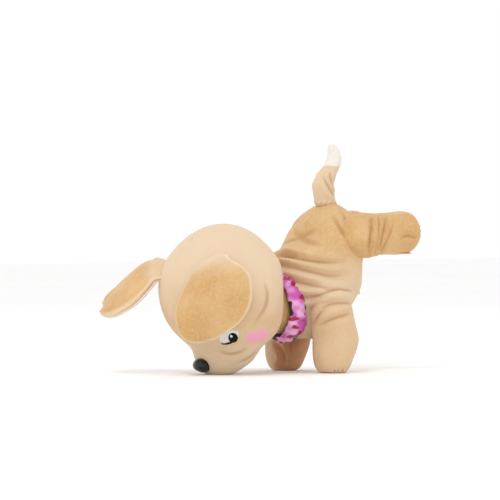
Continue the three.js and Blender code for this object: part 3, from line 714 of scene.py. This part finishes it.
def flap_front(x, edge):
    """The padded face: full in the middle, rolled over at its edge, with a stitched channel."""
    roll = 2.8 * (1 - min(edge / 5.0, 1)) ** 2
    channel = 0.9 * math.exp(-((edge - QUILTING) / 1.1) ** 2)
    return max(x - 0.2 - roll - channel, FLAP["back"] + 0.3)


flap = flap_solid("battery_flap_pad", 0, 0, flap_front, TAN)
well = flap_solid("cutter", grow=1.2, back_gap=0.9, outer=lambda x, edge: x + 40, material=None)
carve(torso, well)
for hole in (DOORWAY, SWITCH_SLOT):
    carve(torso, box_cutter((hole["x"], -hole["half"], hole["bottom"]),
                            (CUT_END, hole["half"], hole["top"])))
p = points_of(flap)
grid_edges = np.array([edge for _, _, edge in flap_grid(0)] * 2)
# Painted shade down the flap's stitched channel.
mask(flap, "painted_shade", np.exp(-((grid_edges - QUILTING) / 1.2) ** 2) * (p[:, 0] > FLAP["back"] + 0.5))
# Paler lower down, as on the torso: partly cream fabric, partly painted light.
mask(flap, "cream_and_painted_light", np.interp(p[:, 2], [95, 150], [0.7, 0.3]))
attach(flap, "flap")
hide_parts("battery_flap")
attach(torso, "torso")
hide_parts("torso_plush")

# ---- neck

clay = Clay((-92, -42, 36), (-16, 42, 118), 3.0)
clay.add(limb(clay.p, [(-40, 0, 79), (-50, 0, 77), (-66, 0, 82)], [31, 31, 30]))
neck = clay.mesh("neck_skin", TAN)
refine(neck)
# Painted shade: the whole neck is darkened, as it lies in shade under the head.
mask(neck, "painted_shade", np.full(len(neck.data.vertices), 0.5))
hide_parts("neck_plush")
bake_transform(neck)

# ---- head

HEAD_AXES = [FORWARD, CROWN, LEFT]
HEAD_SEAM = [on_head(f, u, 0) for f, u in
             [(-60, 50), (-30, 74), (0, 79), (30, 73), (55, 53), (70, 30), (78, 4)]]
FACE_FOLDS = [
    ([(-112, 29), (-98, 25), (-86, 27), (-74, 34)], 4.0, 1.5),
    ([(-89, 14), (-76, 19), (-64, 28)], 4.5, 1.5),
    ([(-57, 112), (-53, 96), (-56, 80), (-68, 62)], 6.0, 1.4),
]

NAPE = -33.0  # how far the back of the head reaches across the view

clay = Clay((-232, -96, -6), (-32, 96, 190), 3.2)
clay.add(blobs(clay.p, on_head(-3, -2, 0), (74.5, 79.5, 77.5), HEAD_AXES))
clay.add(blobs(clay.p, (-131.6, 0, 28.5), (34, 29, 36), HEAD_AXES), 12)
clay.add(blobs(clay.p, (-127, 0, 128), (49, 50, 49)), 16)
for side in SIDES.values():
    clay.add(blobs(clay.p, (-119, side * 20, 33), (22, 20, 22)), 12)
    clay.cut(NAPE - across_of(clay.p, side), 12)
clay.d = np.maximum(clay.d, -clay.p[..., 2] + 0.4)
head = clay.mesh("head_skin", TAN)
points = points_of(head)
folds = creases_on(head, FACE_FOLDS) + [(HEAD_SEAM, 1.5, 1.2)]
grip = np.maximum(gripped(points, folds, 3.0), points[:, 2] < 3)
stuff(head, grip, pressure=4.0, cap=3.0)
refine(head)
press(head, folds)
points = rippled(head, 1.2, 70, 21)
points[:, 2] = np.maximum(points[:, 2], 0.2)
put_points(head, points)
face = tree_of(head)
# Paler on the crown and low on the muzzle: partly cream fabric, partly a painted highlight on the
# crown and painted light against the floor's shade on the muzzle.
mask(head, "cream_and_painted_light", np.interp(points[:, 2], [0, 35, 60, 135], [0.9, 0.75, 0.45, 1.0]))


def on_face(side, right, up, middle, lift):
    """A point of the head's skin at an offset seen along the line of sight, raised by lift."""
    aim = middle + ACROSS * right + UP * up
    origin, direction = aim - SIGHT * 80, SIGHT.copy()
    if side > 0:
        origin[1], direction[1] = -origin[1], -direction[1]
    hit, normal, _, _ = face.ray_cast(Vector(origin), Vector(direction))
    if hit is None:
        hit, normal, _, _ = face.find_nearest(Vector(origin + direction * 60))
    return np.array(hit) + np.array(normal) * lift


EYE_MIDDLE = on_head(55.6, -7, 52)
BLUSH = (30.0, 3.0, 17.0, 9.5, 18)  # right, up, half length, half height, tilt in degrees


def oval_share(offset, shape):
    """1 in the middle of a tilted oval, 0 on its outline and beyond."""
    right, up, a, b, tilt = shape
    t = math.radians(tilt)
    x, y = offset[:, 0] - right, offset[:, 1] - up
    u, v = x * math.cos(t) + y * math.sin(t), y * math.cos(t) - x * math.sin(t)
    return 1 - np.hypot(u / a, v / b)


blush = np.zeros(len(points))
for side in SIDES.values():
    seen = points * np.array([1, -side, 1])
    offset = np.stack([(seen - EYE_MIDDLE) @ ACROSS, seen[:, 2] - EYE_MIDDLE[2]], 1)
    near_side = points[:, 1] * side > 20
    blush = np.maximum(blush, np.clip(oval_share(offset, BLUSH) * 2.2, 0, 1) * near_side)
mask(head, "blush", blush)
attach(head, "head")
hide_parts("head_plush")


def stitched(name, side, shape, lift, material, bend=0.0, rings=9, around=40):
    """A raised oval of embroidery that follows the head. shape is right, up, half sizes, tilt."""
    right, up, a, b, tilt = shape
    t = math.radians(tilt)
    points, faces = [], []
    for j in range(rings + 2):
        s = min(j, rings) / rings if j else 0.02
        height = lift * math.sqrt(max(0.0, 1 - (min(j, rings) / rings) ** 6)) + 0.05
        for k in range(around):
            angle = 2 * math.pi * k / around
            u = a * s * math.cos(angle)
            v = b * s * math.sin(angle) * math.sqrt(max(0.12, 1 - (u / a) ** 2 * (bend != 0)))
            v += bend * u * u / a
            x = right + u * math.cos(t) - v * math.sin(t)
            y = up + u * math.sin(t) + v * math.cos(t)
            points.append(on_face(side, x, y, EYE_MIDDLE, height if j <= rings else -0.9))
    total = rings + 2
    faces = lattice(total, around, wrap=True)
    faces.append(tuple(range(around)))
    faces.append(tuple((total - 1) * around + k for k in reversed(range(around))))
    faces = [tuple(reversed(face)) if i < len(faces) - 2 else face for i, face in enumerate(faces)]
    obj = make(name, points, faces, material)
    obj.data.update()
    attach(obj, "head")
    return obj


for name, side in SIDES.items():
    white = stitched(f"eye_{name}_white", side, (-3.0, 2.6, 12.2, 7.6, 24), 0.9, EYE_WHITE)
    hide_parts(f"eye_{name}")
    stitched(f"eye_{name}_pupil", side, (1.4, 2.2, 6.0, 6.6, 20), 1.5, EYE_BLACK)
    stitched(f"eye_{name}_glint", side, (-0.6, 4.4, 1.7, 1.9, 20), 2.0, EYE_WHITE)
    stitched(f"eye_{name}_lash", side, (-1.6, -3.6, 11.2, 1.4, 24), 1.5, EYE_LINE, bend=0.28)

# The nose: a moulded button with soft corners and two shallow nostrils.
clay = Clay((-202, -16, -3), (-150, 16, 30), 0.8)
nose_at = on_head(87.0, -17.5, 0)
clay.add(blobs(clay.p, nose_at, (8.2, 9.8, 12.0), HEAD_AXES))
clay.add(blobs(clay.p, nose_at + CROWN * 3.0 + FORWARD * 1.0, (7.0, 6.0, 12.4), HEAD_AXES), 2.0)
for side in SIDES.values():
    clay.cut(blobs(clay.p, nose_at + FORWARD * 8.0 - CROWN * 2.6 + LEFT * side * 4.2,
                   (1.8, 1.3, 2.4), HEAD_AXES), 0.8)
clay.d = np.maximum(clay.d, 0.5 - clay.p[..., 2])
nose = clay.mesh("nose_cap", NOSE)
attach(nose, "head")
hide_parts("nose")

# ---- ears

EAR = {"root": 25.0, "full": 50.0, "length": 87.0}
EAR_TUCK = 15.0  # how far the ear runs on past its root, into the head
EAR_WIDEST = 0.4  # the share of its length at which the ear is widest
EAR_PHASE = 0.4  # where the ear's ripples start
FLARE = {"left": 9.0, "right": 4.0}
SKEW = {"left": 8.0, "right": 0.0}
EARS = {
    "left": dict(at=(-179.4, -51, 125.8), down=(-0.062, -0.3, -0.952), bend_down=110,
                 bend_across=95, lift=7),
    "right": dict(at=(-185, 45, 116), down=(-0.488, 0.712, -0.505), bend_down=320,
                  bend_across=150, lift=6.5),
}


def ear_half(share):
    """Half the width of an ear at a share of its length."""
    if share < EAR_WIDEST:
        swing = math.sin(share / EAR_WIDEST * math.pi / 2)
        return EAR["root"] + (EAR["full"] - EAR["root"]) * swing
    return EAR["full"] * math.sqrt(max(0.0, 1 - ((share - EAR_WIDEST) / (1 - EAR_WIDEST)) ** 2.7))


def ear_pose(name):
    """An ear's root, the directions along its root, down it and out of it, and its two bends."""
    side, spec = SIDES[name], EARS[name]
    along = unit((0.62, side * 0.66, 0.42))
    down = unit(spec["down"])
    out = unit(np.cross(along, down) * side)
    if out @ np.array([-0.7, side * 0.4, 0.5]) < 0:
        out = -out
    root = np.array(spec["at"]) + out * spec["lift"]
    return root, along, down, out, spec["bend_down"], spec["bend_across"]


def ear_pad(name, title, low, high, edge, material, rows=36, columns=34):
    """A stuffed ear panel between two heights over its curved bed, rounded along its rim."""
    root, along, down, out, bend_down, bend_across = ear_pose(name)
    top, bottom, rims = [], [], []
    full = EAR["length"] - edge
    for i in range(rows):
        s = -EAR_TUCK + (full + EAR_TUCK) * (i / (rows - 1)) ** 0.93
        share = max(s, 0.0) / full
        half = max(ear_half(share * 0.992) - edge, 0.5)
        half *= math.sqrt(1 - (min(s, 0) / (EAR_TUCK + 1)) ** 2)
        for j in range(columns):
            c = -math.cos(math.pi * j / (columns - 1))
            t = c * half
            drop = bend_down * (1 - math.cos(s / bend_down)) if s > 0 else -0.95 * s
            drop += bend_across * (1 - math.cos(t / bend_across))
            rim = min((1 - abs(c)) * half, (1 - share) * full)
            body = math.sqrt(max(0.0, 1 - max(0.0, 1 - rim / 8.0) ** 2))
            ripple = 1.8 * (1 - min(rim / 30, 1)) * math.sin(s / 19 + 2.2 * c + EAR_PHASE)
            swell = 2.6 * min(rim / 26, 1) + 1.2 * math.sin(s / 21 + 1.5 * c + EAR_PHASE)
            base = root + along * t + down * (bend_down * math.sin(s / bend_down))
            curl = 2.5 * abs(c) ** 3 * min(share * 3, 1)
            base = base + out * (FLARE[name] * share ** 1.6 + curl)
            base = base - along * SKEW[name] * share
            dent = 2.2 * math.exp(-((s - 10) / 7) ** 2)
            mid = (low + high) / 2
            bed = base + out * (mid - drop + ripple * share)
            rise = (high - mid) * body + (swell - dent) * body * (high - low) / 9
            top.append(bed + out * rise)
            bottom.append(bed - out * (mid - low) * body)
            rims.append(rim)
    points = np.array(top + bottom)
    obj = make(title, points, outward(points, slab_faces(rows, columns)), material)
    # A painted highlight along the rounded rim, partly the pale seam there.
    mask(obj, "rim", np.clip(1 - np.array(rims * 2) / 3.5, 0, 1))
    refine(obj)
    return obj


for name, side in SIDES.items():
    outer = ear_pad(name, f"ear_{name}_pad", 2.2, 11.8, 0.0, TAN)
    lining = ear_pad(name, f"ear_{name}_inside", -1.6, 5.0, 2.2, WHITE)
    root, along, down, out, _, _ = ear_pose(name)
    for obj, node, slot in ((outer, "outer", "tan_plush"), (lining, "lining", "white_plush")):
        s = (points_of(obj) - root) @ down
        if node == "outer":
            put_points(obj, rippled(obj, 0.9, 46, 7))
        # Painted shade near the ear's root, where it dips against the head.
        mask(obj, "painted_shade", np.clip(np.exp(-((s - 8) / 5) ** 2) * 0.2, 0, 1))
        # Paler near the root, blending into the head's tone, which is partly painted light.
        mask(obj, "cream_and_painted_light", np.clip(0.6 - s / 34, 0, 1) if node == "outer" else s * 0)
        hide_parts(f"ear_{name}_{node}")
        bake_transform(obj)

# ---- legs

FRONT_LEG = [  # height, centre X, radius
    [0, -4, 15], [3, -4, 19], [9, -4, 22], [18, -3, 24.8], [28, -1, 26.8], [40, 1, 28],
    [52, -1, 27.2], [62, -3, 26], [72, -5, 25.2], [80, -5, 23.5], [88, -4, 19.5], [94, -3, 13],
    [97, -2, 7],
]
HIND_LEG = [  # X, centre height, radius
    [10, 162, 6], [13, 163, 14], [18, 164, 20], [25, 164, 24.5], [33, 164, 27], [42, 164, 27.4],
    [50, 164, 26.2], [60, 165, 25.2], [72, 165.8, 24.9], [84, 166.3, 25.7], [96, 166.8, 26.4],
    [104, 167, 25.8], [111, 167, 22.8], [115.5, 167, 16], [117.5, 167, 10],
]
# Folds of the legs: (across, up) as seen, width, depth.
FRONT_FOLDS = [
    ([(-4, 46), (2, 60), (8, 70), (15, 76)], 3.4, 2.6),
    ([(6, 56), (22, 64), (48, 72)], 4.0, 3.4),
    ([(8, 77), (26, 84), (48, 84)], 3.6, 2.4),
]
INNER_FOLDS = [
    ([(-42, 33), (-34, 24), (-32, 13), (-37, 5)], 4.0, 2.8),
    ([(-19, 40), (-25, 31), (-22, 19)], 4.0, 2.6),
]
HIND_FOLDS = [
    ([(70, 196), (72, 178), (70, 158), (67, 136)], 3.6, 3.8),
    ([(80, 194), (80, 172), (78, 154), (75, 136)], 3.2, 3.0),
    ([(92, 196), (88, 176), (84, 160), (79, 138)], 3.6, 3.6),
    ([(100, 180), (94, 166), (87, 152), (82, 138)], 3.2, 2.2),
    ([(106, 158), (115, 163), (128, 160)], 3.4, 2.0),
]
# The thighs are cut flat this far from the middle, up to THIGH_REACH, to clear the battery flap.
THIGH_GAP, THIGH_REACH = 27.6, 66


def tube(name, line, radius, body, material, around=8):
    """A thread laid along a line in the toy's own millimetres."""
    line = rounded(line, 18)
    points, faces = [], []
    for i, centre in enumerate(line):
        ahead = unit(line[min(i + 1, len(line) - 1)] - line[max(i - 1, 0)])
        a = unit(np.cross(ahead, UP if abs(ahead @ UP) < 0.9 else ACROSS))
        b = np.cross(ahead, a)
        thin = radius * (0.55 if i in (0, len(line) - 1) else 1)
        for k in range(around):
            angle = 2 * math.pi * k / around
            points.append(centre + thin * (a * math.cos(angle) + b * math.sin(angle)))
    faces = lattice(len(line), around, wrap=True)
    faces.append(tuple(reversed(range(around))))
    faces.append(tuple((len(line) - 1) * around + k for k in range(around)))
    obj = make(name, points, outward(points, faces), material)
    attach(obj, body)
    return obj


def laid(tree, centre, directions, proud=0.1):
    """Points of a skin met by rays from its centre."""
    line = []
    for direction in directions:
        hit = tree.ray_cast(Vector(centre), Vector(unit(direction)))[0]
        if hit is not None:
            line.append(np.array(hit) + unit(direction) * proud)
    return line


def disc(name, centre, rx, ry, z0, z1, body, material):
    """A paw's sole: a thin padded oval with a rolled rim."""
    around, rings = 44, 8
    points = []
    for j in range(rings + 1):
        s = 0.05 + 0.95 * j / rings
        h = (z1 - z0) / 2 * math.sqrt(max(0.0, 1 - s ** 5))
        points += [(centre[0] + rx * s * math.cos(2 * math.pi * k / around),
                    centre[1] + ry * s * math.sin(2 * math.pi * k / around),
                    (z0 + z1) / 2 + h) for k in range(around)]
    count = len(points)
    points += [(x, y, z0 + z1 - z) for x, y, z in points[:count - around]]
    faces = lattice(rings + 1, around, wrap=True)
    faces.append(tuple(reversed(range(around))))
    lower = lattice(rings, around, wrap=True, start=count)
    faces += [tuple(reversed(face)) for face in lower]
    faces.append(tuple(count + k for k in range(around)))
    last, edge = count + (rings - 1) * around, rings * around
    for k in range(around):
        m = (k + 1) % around
        faces.append((edge + k, last + k, last + m, edge + m))
    obj = make(name, points, outward(points, faces), material)
    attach(obj, body)
    return obj


def leg_creases(leg, drawn, side):
    """The near leg's creases, or the same ones mirrored onto the far leg."""
    if side < 0:
        return creases_on(leg, drawn, (-1,))
    tree = tree_of(leg, -1)
    return [(mirrored(cast_line(tree, line)), width, depth) for line, width, depth in drawn]


def stuffed_leg(leg, folds, held, seed):
    """Stuffs a leg's skin, presses its folds in and returns its points with a soft ripple."""
    stuff(leg, np.maximum(gripped(points_of(leg), folds), held), cap=1.8)
    refine(leg)
    press(leg, folds)
    return rippled(leg, 0.7, 40, seed)


for name, side in SIDES.items():
    y = side * LEG_Y
    # front leg
    clay = Clay((-36, y - 36, -6), (36, y + 36, 104), 3.0)
    clay.add(turned(clay.p, FRONT_LEG, 2, y))
    clay.d = np.maximum(clay.d, 0.4 - clay.p[..., 2])
    leg = clay.mesh(f"front_leg_{name}_skin", TAN)
    folds = leg_creases(leg, FRONT_FOLDS, side)
    if side > 0:
        folds += creases_on(leg, INNER_FOLDS, (-1,))
    points = stuffed_leg(leg, folds, points_of(leg)[:, 2] < 6, 3)
    points[:, 2] = np.maximum(points[:, 2], 0.25)
    put_points(leg, points)
    mask(leg, "cream_and_painted_light", np.full(len(points), 0.55))
    # Painted shade: the inner side of each front leg, low down where the legs face each other, is
    # darkened to a warm brown.
    inner = np.clip(-side * normals_of(leg)[:, 1] * 1.6 + 0.1, 0, 1)
    mask(leg, "inner_leg_shade", inner * np.clip((60 - points[:, 2]) / 30, 0, 0.8))
    tree = tree_of(leg)
    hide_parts(f"front_leg_{name}")
    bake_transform(leg)
    sole = disc(f"front_paw_{name}_pad", (0, side * (LEG_Y + 2)), 13, 13, 0.0, 2.1,
                "front_legs", PALE_TAN)
    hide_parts(f"front_paw_sole_{name}")
    for k, turn in enumerate((-0.35, 0.0, 0.35)):
        heading = np.array([-math.cos(turn) * 0.45, side * 0.9, 0])
        sweep = unit(heading + np.array([turn * 0.8, 0, 0]))
        rays = [sweep + UP * rise for rise in (-0.92, -0.84, -0.76, -0.68)]
        tube(f"front_toe_{name}_{k + 1}", laid(tree, (0, y, 20), rays), 0.45, "front_legs",
             SEAM)
    # hind leg
    clay = Clay((0, y - 36, 130), (134, y + 36, 200), 3.0)
    clay.add(turned(clay.p, HIND_LEG, 0, y))
    clay.cut(np.maximum(side * clay.p[..., 1] - THIGH_GAP, clay.p[..., 0] - THIGH_REACH), 5)
    leg = clay.mesh(f"hind_leg_{name}_skin", TAN)
    folds = leg_creases(leg, HIND_FOLDS, side)
    put_points(leg, stuffed_leg(leg, folds, points_of(leg)[:, 0] < 20, 5))
    tree = tree_of(leg)
    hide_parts(f"hind_leg_{name}")
    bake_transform(leg)
    sole = disc(f"hind_paw_{name}_pad", (97, side * (LEG_Y + 1)), 15, 10.5, 141.0, 143.2,
                "hind_legs", PALE_TAN)
    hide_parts(f"hind_paw_sole_{name}")
    for k, rise in enumerate((0.42, 0.1, -0.22)):
        rays = [np.array([1.0, side * out, rise]) for out in (0.3, 0.55, 0.8, 1.05)]
        tube(f"hind_toe_{name}_{k + 1}", laid(tree, (96, y, 167), rays), 0.7, "hind_legs",
             SEAM)

# ---- tail

TAIL_LEVELS = [
    [196, 23, 5], [198.5, 22, 9], [201, 21, 12], [207, 20, 13], [216, 18, 13], [226, 17.6, 12.7],
    [236, 21.5, 12.1], [242, 26.5, 11.1], [248, 31, 10],
]
TIP_LEVELS = [
    [245, 29.6, 9.6], [248, 31.2, 10.4], [254, 33.5, 9.6], [262, 34, 8.2], [270, 32, 6],
    [274, 30, 3.0],
]
clay = Clay((-4, -20, 190), (46, 20, 252), 2.4)
clay.add(turned(clay.p, TAIL_LEVELS, 2, 0, spread=1.6))
tail = clay.mesh("tail_skin", TAN)
points = points_of(tail)
stuff(tail, ((points[:, 2] < 203) | (points[:, 2] > 244)).astype(float), cap=1.0)
refine(tail)
TAIL_FOLDS = [
    ([(12, 236), (20, 224), (30, 208)], 3.2, 2.6),
    ([(22, 242), (24, 230), (30, 218)], 3.6, 2.0),
]
points = points_of(tail)
angle = np.arctan2(points[:, 1], points[:, 0] - 21)
gather = np.exp(-((points[:, 2] - 201.5) / 3.2) ** 2)
rise = gather * (1.2 + 1.1 * np.sin(13 * angle))
points[:, :2] += normals_of(tail)[:, :2] * rise[:, None]
put_points(tail, points)
press(tail, creases_on(tail, TAIL_FOLDS))
mask(tail, "cream_and_painted_light", np.full(len(tail.data.vertices), 0.8))
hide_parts("tail_plush")
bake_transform(tail)
clay = Clay((8, -18, 240), (48, 18, 280), 1.6)
clay.add(turned(clay.p, TIP_LEVELS, 2, 0, spread=1.2))
tip = clay.mesh("tail_tip_skin", WHITE)
refine(tip)
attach(tip, "tail")
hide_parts("tail_tip")

# ---- scarf

SCARF = {"x0": -57.0, "x1": -32.0, "z": 77.0, "r": 34.8}
SCARF_WIDTH, SCARF_THICKNESS = 0.0285, 0.0006


def scarf_point(angle, s):
    """A point of the scarf's band: angle round the neck, s from 0 by the head to 1 by the chest."""
    gather = math.sin(17 * angle + 1.3 * math.sin(3 * angle)) + 0.5 * math.sin(29 * angle + 2)
    cross = math.sin(math.pi * s)
    radius = SCARF["r"] + 5.6 * cross ** 0.8 + 1.3 * gather * (0.3 + 0.7 * cross)
    radius += 0.5 * math.sin(4 * angle + 5 * s)
    lean = 5.0 * math.cos(angle)
    x = SCARF["x0"] + (SCARF["x1"] - SCARF["x0"]) * s - lean * (0.4 + 0.6 * s)
    x += 0.8 * math.sin(6 * angle + 2 * s)
    return (x, radius * math.sin(angle), SCARF["z"] + radius * math.cos(angle))


rows, columns = 16, 220
points = [scarf_point(2 * math.pi * j / columns, i / (rows - 1))
          for i in range(rows) for j in range(columns)]
scarf = make("scarf_band", points, lattice(rows, columns, wrap=True), SATIN)
solid = scarf.modifiers.new("thickness", "SOLIDIFY")
solid.thickness = SCARF_THICKNESS
solid.offset = 0.0
bake(scarf)
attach(scarf, "torso")
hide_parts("scarf")

# ---- moulded and metal parts

CHASSIS = plastic("chassis_white", "#d9d8d2", 0.5, "#c9c7be")
GEARS = plastic("gear_acetal", "#ece8da", 0.34, "#dcd6c2", 700)
DARK = plastic("dark_shell", "#26262a", 0.5, "#34343a")
STEEL = metal("steel_drawn", "#b9bbbf", 0.24)
CAN = metal("motor_can_plated", "#a9abaf", 0.32)
CELL = sleeve()
BOARD = circuit()
CONE = plastic("speaker_cone", "#1b1b1d", 0.7, "#2a2a2c", 400)

NODE_FINISHES = [
    ("chassis_screw", STEEL), ("chassis", CHASSIS), ("neck_post", CHASSIS),
    ("tail_bracket", CHASSIS), ("skull", CHASSIS), ("front_leg_core", CHASSIS),
    ("hind_leg_core", CHASSIS), ("gear", GEARS), ("pinion", GEARS), ("axle", STEEL),
    ("neck_pin", STEEL), ("tail_spring", STEEL), ("motor", CAN), ("battery_cell", CELL),
    ("circuit_board", BOARD), ("speaker", CONE),
]
for name, node in NODES.items():
    finish = next((material for key, material in NODE_FINISHES if key in name), DARK)
    if not node.hide_render:
        for slot in node.material_slots:
            slot.material = finish

# ---- stage, light and camera

f = Finish("studio_floor")
f.set(colour=f.mix(f.span(f.noise(3, 2), 0.3, 0.7), linear("#fafafa"), linear("#fcfcfb")))
f.set(rough=0.9, gloss=0.1, bump=f.raised(f.noise(60, 2), 0.0001, 0.2))
FLOOR = 6.0
floor = bpy.data.meshes.new("studio_floor")
floor.from_pydata([(x * FLOOR, y * FLOOR, 0) for x, y in ((-1, -1), (1, -1), (1, 1), (-1, 1))],
                  [], [(0, 1, 2, 3)])
floor = bpy.data.objects.new("studio_floor", floor)
floor.data.materials.append(f.material)
bpy.context.scene.collection.objects.link(floor)

world = bpy.data.worlds.new("studio")
bpy.context.scene.world = world
world.use_nodes = True
backdrop = world.node_tree.nodes["Background"].inputs
backdrop["Color"].default_value = (1.0, 1.0, 1.0, 1)
backdrop["Strength"].default_value = 1.0


def softbox(name, at, aim, size, watts):
    light = bpy.data.lights.new(name, "AREA")
    light.shape = "SQUARE"
    light.size = size
    light.energy = watts
    obj = bpy.data.objects.new(name, light)
    obj.location = at
    obj.rotation_euler = (Vector(aim) - Vector(at)).to_track_quat("-Z", "Y").to_euler()
    bpy.context.scene.collection.objects.link(obj)


CENTRE = spot((-71.1, 27.1, 146.5))
softbox("key", (-1.2, -0.9, 1.9), CENTRE, size=0.45, watts=11)
softbox("fill", (1.4, -1.4, 0.9), CENTRE, size=1.4, watts=1)
softbox("back", (0.6, 1.6, 1.5), CENTRE, size=1.2, watts=2)

camera = bpy.data.cameras.new("camera")
camera.sensor_width = 36
DISTANCE, WIDTH = 5.5, 0.6
AZIMUTH, ELEVATION = math.radians(-35), math.radians(0.9)
camera.lens = camera.sensor_width * DISTANCE / WIDTH
camera.clip_end = 50
eye = bpy.data.objects.new("camera", camera)
ray = Vector((math.sin(AZIMUTH) * math.cos(ELEVATION), -math.cos(AZIMUTH) * math.cos(ELEVATION),
              math.sin(ELEVATION)))
eye.location = Vector(CENTRE) + ray * DISTANCE
eye.rotation_euler = (-ray).to_track_quat("-Z", "Y").to_euler()
bpy.context.scene.collection.objects.link(eye)
bpy.context.scene.camera = eye
bpy.context.scene.view_settings.view_transform = "Standard"
